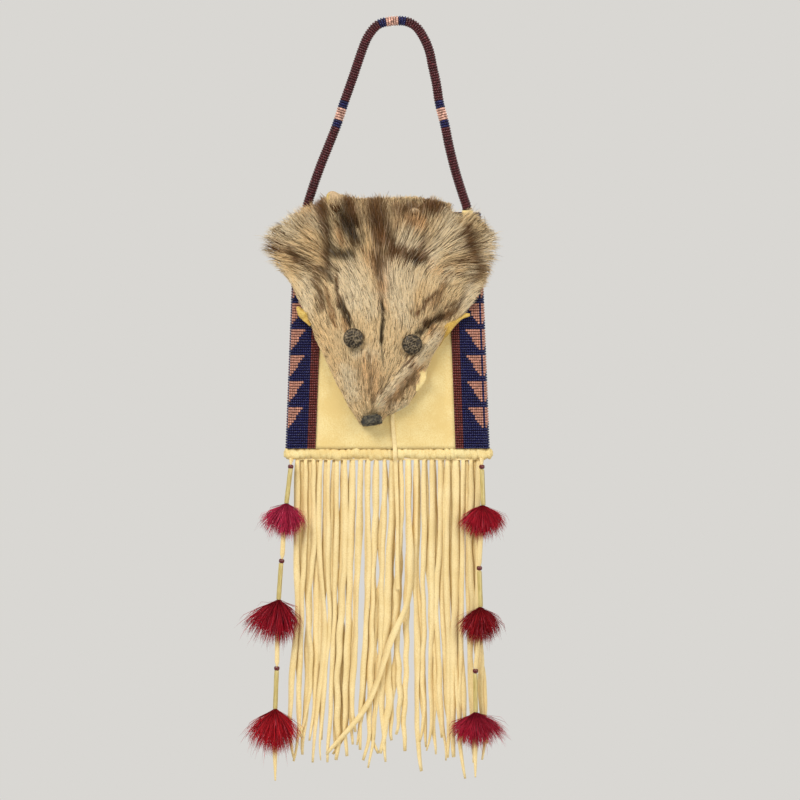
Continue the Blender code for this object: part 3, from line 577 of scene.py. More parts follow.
def tassel(node, name, line, red, seed):
    """Dyed hair bound round the thong under a tube: it arches out, droops and ends in a full round fan."""
    rng = np.random.default_rng(seed)
    low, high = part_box(node)
    count = TASSEL_HAIRS
    top, _ = on_line(line, high.z)
    turn = rng.uniform(0, 2 * math.pi, count)
    lean = math.pi / 2 * rng.random(count) ** 0.86
    size = 1.03 - 0.42 * rng.random(count) ** 2.2
    wisp = rng.random(count) < 0.05
    size[wisp] *= rng.uniform(1.08, 1.28, int(wisp.sum()))
    reach_x = np.where(np.cos(turn) > 0, high.x - top[0], top[0] - low.x)
    reach_y = np.where(np.sin(turn) > 0, high.y - top[1], top[1] - low.y)
    drop = (high.z - low.z) * (0.46 + 0.54 * np.cos(lean) ** 0.8) * size
    out = np.stack([reach_x * np.cos(turn), reach_y * np.sin(turn)], axis=1)
    out *= (np.sin(lean) * size)[:, None]
    roots = np.stack([top[0] + 0.0013 * np.cos(turn), top[1] + 0.0012 * np.sin(turn),
                      high.z - rng.uniform(0, 0.0015, count)], axis=1)
    clumps = rng.normal(0, 0.0012, (TASSEL_CLUMPS, 3))[rng.integers(0, TASSEL_CLUMPS, count)]
    kink = rng.normal(0, 0.0008, (count, 3)) + clumps
    tips = np.concatenate([top[None, :2] + out, (high.z - drop)[:, None]], axis=1) + kink
    way = tips - roots
    middles = roots + way * (0.47, 0.47, 0.36) + kink * 0.2
    ends = roots + way * (0.80, 0.80, 0.72) + kink * 0.6
    shade = np.exp(rng.normal(0, 0.26, count))
    base = rgb(red)
    # Painted shade and light: each hair is darker at the binding and lighter towards its tip.
    along = np.array([0.5, 0.95, 1.35, 1.75])
    colours = np.ones((count, 4, 4))
    colours[:, :, :3] = base[None, None, :] * shade[:, None, None] * along[None, :, None]
    pale = rng.random(count) < 0.10
    colours[pale, 2:, :3] = colours[pale, 2:, :3] * 0.7 + rgb(FADED_RED) * 0.3
    widths = rng.uniform(0.00022, 0.00040, count)
    return hair_tufts(name, roots, middles, ends, tips, widths, np.clip(colours, 0, 1), dyed_hair)


# Both drops, strung from the top down.
for name, side, hand_points in (("left", -1, LEFT_DROP_ROUTE), ("right", 1, RIGHT_DROP_ROUTE)):
    line = drop_line(side, hand_points)
    threaded = [f"{name}_{kind}_{i}" for kind in ("bead", "tube") for i in (1, 2, 3)]
    widths = THONG_WIDTH + (PINCHED_WIDTH - THONG_WIDTH) * inside_pieces(line, threaded, PINCH_LENGTH)
    widths *= np.clip(0.32 + (line[:, 2] - line[-1, 2]) / POINTED_END, 0, 1)
    thicknesses = np.full(len(line), THONG_THICKNESS)
    sway = 0.5 * np.sin(line[:, 2] * 90)
    facing = np.stack([sway, -np.ones(len(line)), np.zeros(len(line))], axis=1)
    thong = strip_object(name + "_drop_strip", [(line, widths, thicknesses, facing)], strip_hide)
    settle(thong, name + "_drop", "fringe_hide", name + "_drop_thong")
    on_thong = []
    for i in (1, 2, 3):
        bead_node, tube_node, tassel_node = (f"{name}_{kind}_{i}" for kind in ("bead", "tube", "tassel"))
        bead = red_bead(bead_node, f"{name}_red_bead_{i}", line)
        settle(bead, name + "_drop", "red_glass", bead_node)
        tube = straw_tube(tube_node, f"{name}_straw_{i}", line)
        settle(tube, name + "_drop", "straw_tube", tube_node)
        fan = tassel(tassel_node, f"{name}_hair_fan_{i}", line, TASSEL_REDS[name][i - 1], 40 + i + 5 * side)
        settle(fan, name + "_drop", "dyed_hair", tassel_node)
        on_thong += [bead, tube, fan]

# Tie thong: a flat strip of the same hide, sewn on under the flap's tip. It runs down the panel, over
# the lacing and in front of the fringe. Its points follow the front panel's belly.
BOTTOM_Z = float(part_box("back_panel")[0][2])
TIE_MIDDLE_WIDTH = 0.0030
TIE_WAVER = 0.0004
TIE_RADIUS = 0.0012
CLEAR = 0.0003
HIDE_THICKNESS = 0.0012
LACING_RADIUS = 0.0038
# Across from the bag's middle line, and up from the panel's foot or down from the lacing's middle.
TIE_ON_PANEL = [(0.0028, 0.0310), (0.0032, 0.0210), (0.0044, 0.0070), (0.0050, 0.0010)]
TIE_HANGING = [(0.0054, 0.0049), (0.0060, 0.0209), (0.0068, 0.0489), (0.0066, 0.0769), (0.0072, 0.1019)]


def surface_finder(obj):
    corners = [vertex.co.copy() for vertex in obj.data.vertices]
    return BVHTree.FromPolygons(corners, [tuple(face.vertices) for face in obj.data.polygons])


panel_surface = surface_finder(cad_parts["front_panel"])


def front_y(finder, x, z, default=None):
    """The foremost y of a surface at one place, seen from the front."""
    hit = finder.ray_cast(Vector((x, -1, z)), Vector((0, 1, 0)))[0]
    return default if hit is None else hit.y


tie_points = []
for across, up in TIE_ON_PANEL:
    x, z = BAG_X + across, BOTTOM_Z + up
    tie_points.append((x, front_y(panel_surface, x, z) - CLEAR - TIE_RADIUS, z))
over_lacing = LACING_RADIUS / math.cos(math.pi / 8) + CLEAR + TIE_RADIUS
for z in (LACING_Z + LACING_RADIUS / 2, LACING_Z - LACING_RADIUS / 2):
    tie_points.append((tie_points[-1][0], -over_lacing, z))
hang_y = -CLEAR / 2 - HIDE_THICKNESS - 2 * CLEAR - TIE_RADIUS
tie_points += [(BAG_X + across, hang_y, LACING_Z - down) for across, down in TIE_HANGING]
tie_line = smooth_route(tie_points, 0.0015)
wave = np.sin(np.linspace(0, 7, len(tie_line)))
widths = TIE_MIDDLE_WIDTH + TIE_WAVER * wave
thicknesses = np.full(len(tie_line), HIDE_THICKNESS)
facing = np.stack([0.35 * wave, -np.ones(len(tie_line)), np.zeros(len(tie_line))], axis=1)
tie = strip_object("tie_strip", [(tie_line, widths, thicknesses, facing)], strip_hide)
settle(tie, "pouch", "fringe_hide", "tie_thong")


# Pouch panels: two sheets of pale smoke-tanned hide, suede side out. They are soft, so the front one
# bellies out and both carry slight puckers. The lacing holds them together along the bottom.
BROAD_PUCKER = 0.00035
FINE_PUCKER = 0.00012


def merged_copy(node, name, material, cuts):
    """A copy of a CAD node with its loose triangles joined up and then cut finer."""
    shape = bmesh.new()
    shape.from_mesh(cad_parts[node].data)
    bmesh.ops.remove_doubles(shape, verts=shape.verts[:], dist=0.00002)
    bmesh.ops.join_triangles(shape, faces=shape.faces[:], cmp_seam=False, angle_face_threshold=0.7,
                             angle_shape_threshold=0.7)
    bmesh.ops.subdivide_edges(shape, edges=shape.edges[:], cuts=cuts, use_grid_fill=True)
    bmesh.ops.recalc_face_normals(shape, faces=shape.faces[:])
    mesh = bpy.data.meshes.new(name)
    shape.to_mesh(mesh)
    shape.free()
    mesh.shade_smooth()
    mesh.set_sharp_from_angle(angle=math.radians(50))
    mesh.materials.append(material)
    obj = bpy.data.objects.new(name, mesh)
    bpy.context.scene.collection.objects.link(obj)
    return obj


def vertex_array(obj):
    co = np.empty(len(obj.data.vertices) * 3, np.float32)
    obj.data.vertices.foreach_get("co", co)
    return co.reshape(-1, 3).astype(float)


def set_vertices(obj, points):
    obj.data.vertices.foreach_set("co", np.asarray(points, np.float32).ravel())
    obj.data.update()


def soft_waves(points, scale, seed):
    """Smooth random waves between about -1 and 1, with hills about one over scale metres apart."""
    rng = np.random.default_rng(seed)
    total = np.zeros(len(points))
    for k in range(14):
        way = rng.normal(size=3)
        way /= np.linalg.norm(way)
        total += np.sin(points @ way * scale * rng.uniform(3.5, 9.0) + rng.uniform(0, 6.3)) / 3.2
    return total


panel_hide = hide_material("pouch_panel_hide", "#f0da9c", "#e6c985")
for node, name, push, cuts in (("front_panel", "front_hide", -1, 3), ("back_panel", "back_hide", 1, 40)):
    hide = merged_copy(node, name, panel_hide, cuts)
    points = vertex_array(hide)
    puckers = BROAD_PUCKER * soft_waves(points, 12, 3) + FINE_PUCKER * soft_waves(points, 40, 4)
    outer = points[:, 1] * push > 0.0016
    points[:, 1] += np.where(outer, push * np.abs(puckers) * 0.8, 0)
    set_vertices(hide, points)
    settle(hide, "pouch", "pouch_hide", node)


# Side strips: loomed seed beads, 29 columns by 91 rows, folded round each edge over both panels.
# Pattern from each long edge in: 4 dark red columns, 3 navy, then salmon triangles on navy on both
# sides of a navy middle column. Each triangle is 8 rows high with 2 navy rows after it.
MOUTH_Z = float(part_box("back_panel")[1][2])
STRIP_WIDTH = 0.045
COLUMNS, ROWS = 29, 91
LEFT_STRIP_FRONT = 0.018
RIGHT_STRIP_FRONT = 0.0222
FOLD_REACH = {"left": 1.0, "right": 0.72}  # the right strip's fold is pressed flatter
WEAVE_RADIUS = 0.0041
WEB_OUTSIDE, WEB_INSIDE = 0.0037, 0.0034
WEB_RINGS, WEB_STEPS = 30, 60
LOOM_BEAD_LENGTH = 0.00152
LOOM_BEAD_RADIUS = 0.00091
BORDER_RED = "#682b26"
SALMON = "#bc8571"
BORDER_COLUMNS, MIDDLE_COLUMN = 4, 14
TRIANGLE_WIDTHS = (7, 6, 5, 4, 4, 3, 2, 1)
FIRST_TRIANGLE_ROW, TRIANGLE_STEP, LAST_TRIANGLE_ROW = 5, 10, 75


def strip_colour(row, column):
    """The colour of one bead; the pattern is the same from both long edges in."""
    column = min(column, COLUMNS - 1 - column)
    if column < BORDER_COLUMNS:
        return BORDER_RED
    start = FIRST_TRIANGLE_ROW + (row - FIRST_TRIANGLE_ROW) // TRIANGLE_STEP * TRIANGLE_STEP
    if column == MIDDLE_COLUMN or start < FIRST_TRIANGLE_ROW or start > LAST_TRIANGLE_ROW:
        return NAVY
    step = row - start
    if step < len(TRIANGLE_WIDTHS) and column >= MIDDLE_COLUMN - TRIANGLE_WIDTHS[step]:
        return SALMON
    return NAVY


def fold_place(along, front_flat, radius, reach):
    """How far a place on the folded strip is out from the panel's edge, its y, and the way out there."""
    if along < front_flat:
        return along - front_flat, -radius, (0.0, -1.0)
    turn = (along - front_flat) / WEAVE_RADIUS
    if turn < math.pi:
        return reach * radius * math.sin(turn), -radius * math.cos(turn), (math.sin(turn), -math.cos(turn))
    return -(along - front_flat - math.pi * WEAVE_RADIUS), radius, (0.0, 1.0)


panel_points = vertex_array(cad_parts["back_panel"])
mouth_points = panel_points[panel_points[:, 2] > MOUTH_Z - 0.001]
half_top = float(np.abs(mouth_points[:, 0] - BAG_X).max())


def panel_edge(side, z):
    share = (MOUTH_Z - z) / (MOUTH_Z - BOTTOM_Z)
    return BAG_X + side * (half_top + (HALF_BOTTOM - half_top) * share)


for name, side, front_flat in (("left", -1, LEFT_STRIP_FRONT), ("right", 1, RIGHT_STRIP_FRONT)):
    rng = np.random.default_rng(21 + side)
    row_pitch = (MOUTH_Z - BOTTOM_Z) / ROWS
    centres, axes, outs, hexes = [], [], [], []
    for row in range(ROWS):
        z = MOUTH_Z - (row + 0.5) * row_pitch
        edge = panel_edge(side, z)
        for column in range(COLUMNS):
            along = (column + 0.5) * STRIP_WIDTH / COLUMNS
            out, y, (out_x, out_y) = fold_place(along, front_flat, WEAVE_RADIUS, FOLD_REACH[name])
            centres.append((edge + side * out, y, z + rng.normal(0, 0.00005)))
            axes.append((-side * out_y, out_x, rng.normal(0, 0.03)))
            outs.append((side * out_x, out_y, 0.0))
            hexes.append(strip_colour(row, column))
    beads = seed_beads(name + "_strip_beads", LOOM_BEAD_LENGTH, LOOM_BEAD_RADIUS, centres, axes, outs,
                       jittered(hexes, 0.13, rng))
    rings = []
    for z in np.linspace(MOUTH_Z, BOTTOM_Z, WEB_RINGS):
        section = [fold_place(STRIP_WIDTH * k / WEB_STEPS, front_flat, WEB_OUTSIDE, FOLD_REACH[name])
                   for k in range(WEB_STEPS + 1)]
        section += [fold_place(STRIP_WIDTH * k / WEB_STEPS, front_flat, WEB_INSIDE, FOLD_REACH[name])
                    for k in range(WEB_STEPS, -1, -1)]
        rings.append([(panel_edge(side, z) + side * out, y, z) for out, y, _ in section])
    count = len(rings[0])
    faces = [tube_faces(WEB_RINGS, count), end_faces(WEB_RINGS, count)]
    web = mesh_object(name + "_strip_web", np.array(rings).reshape(-1, 3), faces, dark_thread)
    outward(web)
    settle(web, "pouch", "strip_beadwork", name + "_beaded_strip")
    settle(beads, "pouch", "strip_beadwork")


# Bottom lacing: a broad hide thong whipped round the bottom edge of both panels. Its turns overlap,
# so the roll is a row of slanting lumps about 5 mm apart.
LACING_PITCH = 0.0052
LACING_HALF = float(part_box("bottom_lacing")[1][0]) - BAG_X
LACING_REACH_UP = 1.45  # its upper half is drawn up over the panels' edges
VALLEY_RADIUS = 0.0029
LUMP_HEIGHT = 0.0012
lacing_hide = hide_material("whipped_lacing_hide", "#f2dfa4", "#e6ca88", nap=1.5)


def lacing_roll():
    """The roll as one closed tube with a slanting lump for each turn, no two of them alike."""
    rings, around = 360, 28
    rng = np.random.default_rng(17)
    turns = int(2 * LACING_HALF / LACING_PITCH) + 4
    swell = rng.uniform(0.7, 1.35, turns)
    lift = rng.normal(0, 0.00032, turns)
    push = rng.uniform(-0.2, 0.2, turns)
    points = np.empty((rings, around, 3))
    for i in range(rings):
        x = -LACING_HALF + 2 * LACING_HALF * i / (rings - 1)
        end = min(1.0, (LACING_HALF - abs(x)) / 0.003 + 0.35)
        for k in range(around):
            turn = 2 * math.pi * k / around
            along = (x + LACING_HALF) / LACING_PITCH + 0.20 * math.sin(turn) + 0.20 * math.sin(x * 410) + 1
            which = int(along)
            share = along - which
            bent = share + push[which] * math.sin(math.pi * share)
            lump = math.sin(math.pi * min(1, max(0, bent))) ** 0.6
            wander = 0.0003 * math.sin(x * 173 + 2 * turn)
            wander += 0.00022 * math.sin(x * 697 + turn) * math.sin(x * 351)
            radius = (VALLEY_RADIUS + LUMP_HEIGHT * swell[which] * lump + wander) * end
            rise = radius * math.sin(turn) * (LACING_REACH_UP if math.sin(turn) > 0 else 1)
            points[i, k] = (BAG_X + x, radius * math.cos(turn), LACING_Z + rise + lift[which] * lump)
    faces = [tube_faces(rings, around), end_faces(rings, around)]
    roll = mesh_object("whipped_lacing", points.reshape(-1, 3), faces, lacing_hide)
    outward(roll)
    return roll


lacing = lacing_roll()
settle(lacing, "pouch", "lacing_hide", "bottom_lacing")

# Fringe: two combs of hide cut into strips about 4 to 6 mm wide, hung from the lacing one behind the
# other. The strips drift apart into a left and a right group; one strip crosses in front of the rest.
FRINGE_HALF_SPAN = 0.0680
FRINGE_TOP = LACING_Z - LACING_RADIUS - CLEAR
ROOT_TUCK = 0.0008
FRINGE_STRIP_WIDTH = 0.0053
CROSSING_LIFT = 0.0034
# Each strip's foot: across from the bag's middle line, and down from the fringe's top.
FRONT_FRINGE_FEET = [
    (-0.0757, 0.2235), (-0.0675, 0.2260), (-0.0592, 0.2080), (-0.0540, 0.2270), (-0.0500, 0.2250),
    (-0.0458, 0.2265), (-0.0390, 0.2250), (-0.0348, 0.2220), (-0.0300, 0.2040), (-0.0202, 0.2175),
    (-0.0160, 0.2255), (-0.0112, 0.2310), (-0.0066, 0.2265), (0.0056, 0.2060),
]
CROSSING_STRIP = [(0.0180, 0.0), (0.0182, 0.1040), (0.0060, 0.1330), (-0.0130, 0.1840), (-0.0430, 0.2200)]
RIGHT_FRINGE_FEET = [
    (0.0206, 0.2335), (0.0270, 0.2115), (0.0330, 0.2180), (0.0390, 0.2255), (0.0442, 0.2235),
    (0.0484, 0.2230), (0.0520, 0.2390), (0.0615, 0.2270), (0.0700, 0.2250),
]
BACK_STRIPS = 22
BACK_STRIP_LENGTH = 0.222
FRONT_COMB_Y = -CLEAR / 2 - HIDE_THICKNESS / 2
BACK_COMB_Y = CLEAR / 2 + HIDE_THICKNESS / 2


def hanging_line(root_x, foot_x, length, y, rng):
    """A strip's middle line: straight down from its root, drifting to its foot, with a small lazy wave."""
    down = np.linspace(0, 1, 44)
    drift = down * down * (1.5 - 0.5 * down)
    wave = rng.normal(0, 0.0020) * np.sin(down * rng.uniform(3, 8) + rng.uniform(0, 6)) * np.sqrt(down)
    wave += rng.normal(0, 0.0008) * np.sin(down * rng.uniform(12, 22)) * np.sqrt(down)
    wave += rng.normal(0, 0.00035) * np.sin(down * rng.uniform(35, 60) + rng.uniform(0, 6)) * np.sqrt(down)
    wave += rng.normal(0, 0.0042) * np.clip((down - 0.84) / 0.16, 0, 1) ** 2
    sway = np.abs(rng.normal(0, 0.0012)) * np.sin(down * rng.uniform(3, 7)) * down
    x = root_x + (foot_x - root_x) * drift + wave
    return np.stack([x, y + sway, FRINGE_TOP + ROOT_TUCK - (length + ROOT_TUCK) * down], axis=1)


def fringe_strip(line, rng):
    """A cut strip: its width wavers, it turns a little as it hangs, and it narrows at both ends."""
    along = np.linspace(0, 1, len(line))
    widths = FRINGE_STRIP_WIDTH * rng.uniform(0.70, 1.12)
    widths = widths * (1 + 0.10 * np.sin(along * rng.uniform(9, 22) + rng.uniform(0, 6)))
    widths *= 1 - rng.uniform(0.45, 0.75) * np.clip((along - 0.78) / 0.22, 0, 1) ** 1.4
    widths *= 0.72 + 0.28 * np.clip(along / 0.06, 0, 1)
    twist = rng.normal(0, 0.40) * along + rng.normal(0, 0.32) * np.sin(along * rng.uniform(4, 12))
    facing = np.stack([np.sin(twist), -np.cos(twist), np.zeros(len(line))], axis=1)
    return line, widths, np.full(len(line), HIDE_THICKNESS * 0.9), facing


def fringe_comb(name, node, strips, y, half_span):
    """One comb: its strips and the narrow uncut band along their roots."""
    steps = 40
    band = np.stack([BAG_X + np.linspace(-half_span, half_span, steps), np.full(steps, y),
                     np.full(steps, FRINGE_TOP + 0.0002)], axis=1)
    facing = np.tile((0.0, -1.0, 0.0), (steps, 1))
    header = (band, np.full(steps, 0.0014), np.full(steps, HIDE_THICKNESS), facing)
    comb = strip_object(name, [header] + strips, strip_hide, sides=6)
    outward(comb)
    settle(comb, "pouch", "fringe_hide", node)
    return comb


rng = np.random.default_rng(5)
feet = FRONT_FRINGE_FEET + [None] + RIGHT_FRINGE_FEET
roots = np.linspace(-FRINGE_HALF_SPAN, FRINGE_HALF_SPAN, len(feet))
strips = []
for root, foot in zip(roots, feet):
    if foot is None:
        path = [(BAG_X + root, FRONT_COMB_Y, FRINGE_TOP)]
        path += [(BAG_X + root + x - CROSSING_STRIP[0][0], FRONT_COMB_Y - CROSSING_LIFT, FRINGE_TOP - down)
                 for x, down in CROSSING_STRIP[1:]]
        path.insert(1, (BAG_X + root, FRONT_COMB_Y - CROSSING_LIFT * 0.6, FRINGE_TOP - 0.030))
        line = smooth_route(path, 0.006)
    else:
        y = FRONT_COMB_Y + rng.normal(0, 0.0003)
        line = hanging_line(BAG_X + root, BAG_X + foot[0], foot[1], y, rng)
    strips.append(fringe_strip(line, rng))
front_comb = fringe_comb("front_fringe_comb", "fringe_front", strips, FRONT_COMB_Y,
                         FRINGE_HALF_SPAN + 0.0015)

strips = []
for i in range(BACK_STRIPS):
    root = FRINGE_HALF_SPAN * (2 * (i + 0.5) / BACK_STRIPS - 1)
    part = -0.0062 if i < BACK_STRIPS * 0.62 else 0.0052
    foot_x = BAG_X + root + part + rng.normal(0, 0.0022)
    length = BACK_STRIP_LENGTH - 0.014 * rng.random()
    line = hanging_line(BAG_X + root, foot_x, length, BACK_COMB_Y + 0.0004, rng)
    strips.append(fringe_strip(line, rng))
back_comb = fringe_comb("back_fringe_comb", "fringe_back", strips, BACK_COMB_Y, FRINGE_HALF_SPAN)


# Flap: the face skin of a small animal with its fur, sewn to the back panel's top edge and folded
# over the mouth. The skin is a few millimetres of hide with folds, ears and cheeks, and the fur lies
# on it from the nose upwards and out over the cheeks. Places on it are millimetres across from the
# bag's middle line and down from the mouth.
MM = 0.001
CHEEK_DRAW = 0.10  # share by which the skin stops short of its fur at the cheeks
FUR_SINK = 0.0030  # how far the skin lies inside the solid's fur side
THIN_SKIN = 0.0050  # where the solid stands less than this before the panel, the skin stays on it
FUR_BASE = "#e1c799"
CREAM, SAND, TAUPE, BROWN, DARK = "#fbe7c0", "#e3c491", "#8c6842", "#54361c", "#1c1109"
# Colour streaks on the fur, the DARK ones painted shade in hollows and creases: across and down of both
# ends, half width, colour, strength.
FUR_STREAKS = [
    (-91, 15, -58, 9, 8, CREAM, 0.9), (-87, 24, -70, 33, 4, BROWN, 0.9),
    (-80, 33, -70, 40, 3.5, SAND, 0.8), (-69, 35, -45, 46, 3.5, BROWN, 0.75),
    (-62, 14, -56, 34, 5, SAND, 0.7), (-49, 2, -46, 40, 2.7, BROWN, 0.8),
    (-62, 52, -61, 72, 5.5, CREAM, 0.8), (-55, 48, -49, 72, 2.4, BROWN, 0.8),
    (-46, 58, -40, 84, 2, TAUPE, 0.8), (-66, -3, -54, -6, 5, TAUPE, 0.7),
    (-53, -12, -48, 2, 5, BROWN, 0.9), (-30, -8, -25, 8, 6, BROWN, 0.9), (-33, 24, -26, 27, 3, SAND, 0.8),
    (-37, 14, -35, 22, 3, TAUPE, 0.8), (-10, -6, -6, 20, 9.5, BROWN, 0.9),
    (-14, 30, -9, 42, 6, TAUPE, 0.8), (-4, 38, 0, 54, 8, BROWN, 0.85), (-4, 54, -4, 72, 4, TAUPE, 0.8),
    (-20, 16, -16, 26, 5, SAND, 0.7), (-29, 46, -25, 66, 9.5, CREAM, 0.95),
    (-14, 62, -12, 76, 5, CREAM, 0.6), (8, 10, 24, 11, 5, TAUPE, 0.7), (14, 24, 20, 27, 8, CREAM, 0.95),
    (18, 34, 30, 36, 5.5, BROWN, 0.95), (26, 24, 30, 33, 3.5, BROWN, 0.8),
    (2, 20, 6, 32, 3.5, BROWN, 0.8), (8, 46, 20, 52, 9, CREAM, 0.7), (6, 64, 14, 76, 8, CREAM, 0.8),
    (26, 56, 20, 76, 3.5, SAND, 0.8), (8, -2, 30, -2, 6, BROWN, 0.85), (14, 6, 26, 7, 3, TAUPE, 0.8),
    (30, -6, 42, -2, 6, BROWN, 0.9), (34, 34, 46, 6, 6, CREAM, 0.8), (48, 8, 52, 26, 5, CREAM, 0.6),
    (60, 13, 60, 24, 4.5, BROWN, 0.9), (62, 24, 69, 42, 5, BROWN, 0.95),
    (76, 16, 75, 34, 3.5, CREAM, 0.8), (36, 44, 62, 36, 4, TAUPE, 0.5), (40, 50, 62, 46, 3, CREAM, 0.6),
    (67, 48, 50, 71, 2.8, BROWN, 0.95), (63, 58, 60, 72, 5, CREAM, 1.0), (42, 52, 34, 70, 3, TAUPE, 0.7),
    (21, 77, 34, 61, 2, BROWN, 0.9), (28, 84, 46, 75, 4.5, BROWN, 0.85),
    (32, 88, 38, 96, 3.5, TAUPE, 0.8), (-38, 42, -38, 60, 1.6, BROWN, 0.9),
    (-37, 64, -28, 84, 2.4, BROWN, 0.85), (-33, 82, -29, 92, 2.4, TAUPE, 0.7),
    (-52, 90, -40, 112, 6, SAND, 0.8), (-30, 96, -24, 104, 3, CREAM, 0.6),
    (-22, 104, -8, 106, 3, CREAM, 0.6), (-15, 116, -10, 134, 9, TAUPE, 0.6),
    (-31, 118, -26, 134, 5, CREAM, 0.7), (36, 94, -6, 143, 3.6, CREAM, 0.9),
    # The thin BROWN streak that follows is painted shade along the crease under the muzzle ridge.
    (24, 104, -11, 141, 1.2, BROWN, 0.5), (22, 118, 2, 142, 4.5, TAUPE, 0.75),
    (6, 148, 12, 147, 4, CREAM, 0.6), (4, 29, 29, 36, 4.5, BROWN, 0.9),
    # The DARK streaks that follow are painted shade in the hollows by the ears and along the creases.
    (-35, 3, -29, 12, 5.5, DARK, 0.95), (-28, 13, -23, 21, 5.5, DARK, 1.0),
    (-39, 29, -28, 32, 4.5, DARK, 1.0), (17, 37, 27, 38, 3.5, DARK, 0.7), (-11, 2, -8, 10, 3, DARK, 0.5),
    (-5.5, 70, -4.5, 100, 1.1, DARK, 0.9), (-4.5, 100, -2, 116, 1.0, DARK, 0.7),
    (-34, 70, -27, 86, 1.4, DARK, 0.85), (35, 81, 22, 92, 1.8, DARK, 0.85),
    (13.5, 106, 9, 115, 0.9, BROWN, 0.8), (20.5, 107, 15.5, 115, 0.9, BROWN, 0.8),
]
# Folds of the skin: across and down of both ends, half width, and rise, which is below 0 in a crease.
MUZZLE_RIDGE = (37, 92, -9, 145, 4.0, 4.6)
SKIN_FOLDS = [
    MUZZLE_RIDGE, (-4, 62, -4.5, 104, 1.6, -2.2), (-39, 54, -28, 87, 1.8, -2.4),
    (23, 90, 41, 76, 2.2, -2.6), (25, 103, -12, 141, 1.5, -1.0), (24, 116, 3, 144, 2.4, -1.0),
    (-45, 6, -43, 50, 2.6, -3.2), (-29, 62, -30, 84, 7, 1.2), (16, 60, 15, 84, 8, 1.4),
    (-52, 60, -38, 118, 5, 1.5), (-12, 112, -12, 138, 8, 1.8), (47, 40, 37, 74, 2.4, -1.6),
    (-57, 50, -49, 84, 1.8, -1.4), (-20, 108, -8, 112, 1.3, -0.9),
]
# Mounds and hollows: across and down of the middle, half width, half height, and rise.
SKIN_MOUNDS = [
    (-38, -3, 8, 9, 3.4), (-32, 8, 6, 5, -3.5), (-25, 19, 6, 6, -3.5), (-33, 33, 6, 5, -3.0),
    (16, 18, 12, 9, 2.0), (23, 36, 8, 8, -2.5), (20, 2, 5, 4, 1.5), (-62, 20, 16, 16, 1.2),
    (52, 22, 16, 16, 1.2),
]
# Bald spots: across and down of the middle, half width, half height, colour.
BALD_SPOTS = [
    (-39, -7, 5.5, 5.5, "#c9a47c"), (20, 2.5, 4.0, 2.6, "#caa27a"), (-12.6, 155, 8, 4.2, "#4e463a"),
]


def line_distance(x, z, ends):
    """How far each place is from a line between two ends."""
    ax, az, bx, bz = ends[:4]
    run = np.clip(((x - ax) * (bx - ax) + (z - az) * (bz - az)) / ((bx - ax) ** 2 + (bz - az) ** 2), 0, 1)
    return np.hypot(x - ax - run * (bx - ax), z - az - run * (bz - az))


def fold_relief(points):
    """How far the skin stands out at each place, in metres."""
    x, z = (points[:, 0] - BAG_X) / MM, (MOUTH_Z - points[:, 2]) / MM
    rise = np.zeros(len(points))
    for *ends, wide, high in SKIN_FOLDS:
        rise += 1.35 * high * np.exp(-(line_distance(x, z, ends) / wide) ** 2)
    for across, down, wide, high, height in SKIN_MOUNDS:
        rise += height * np.exp(-((x - across) / wide) ** 2 - ((z - down) / high) ** 2)
    return rise * MM


def fur_colour_and_shade(points):
    """The fur's colour at each place, with painted shade in its hollows and creases."""
    x, z = (points[:, 0] - BAG_X) / MM, (MOUTH_Z - points[:, 2]) / MM
    colour = np.tile(rgb(FUR_BASE), (len(points), 1))
    for *ends, wide, shade, strength in FUR_STREAKS:
        share = min(1.0, 1.12 * strength) * np.exp(-(line_distance(x, z, ends) / (1.15 * wide)) ** 2.6)
        colour += (rgb(shade) - colour) * share[:, None]
    # Painted shade: each crease darkens the colour along it.
    for *ends, wide, rise in SKIN_FOLDS:
        if rise < 0:
            share = min(0.75, -0.28 * rise) * np.exp(-(line_distance(x, z, ends) / (wide * 0.8)) ** 2)
            colour += (rgb(DARK) - colour) * share[:, None]
    return colour


# Fur base: short dense underfur on the skin; the underside is bare yellow hide.
skin_coat, tree, shader = principled("skin_and_underfur", Roughness=0.9, Specular_IOR_Level=0.2)
skin_tint = add_node(tree, "ShaderNodeAttribute", attribute_name="fur_colour_and_shade")
place = add_node(tree, "ShaderNodeTexCoord").outputs["Object"]
drawn = add_node(tree, "ShaderNodeMapping", {"Vector": place, "Scale": (2600.0, 2600.0, 160.0)})
streaks = add_node(tree, "ShaderNodeTexNoise", {"Vector": drawn.outputs[0], "Scale": 1.0, "Detail": 3.0})
dim = add_node(tree, "ShaderNodeMapRange", {"Value": streaks.outputs["Fac"], "From Min": 0.3,
                                            "From Max": 0.7, "To Min": 0.45, "To Max": 1.15})
tinted = add_node(tree, "ShaderNodeVectorMath", {0: skin_tint.outputs["Color"]}, operation="SCALE")
tree.links.new(dim.outputs[0], tinted.inputs["Scale"])
tree.links.new(tinted.outputs["Vector"], shader.inputs["Base Color"])
lift = add_node(tree, "ShaderNodeBump",
                {"Height": streaks.outputs["Fac"], "Strength": 0.6, "Distance": 0.0006})
tree.links.new(lift.outputs["Normal"], shader.inputs["Normal"])

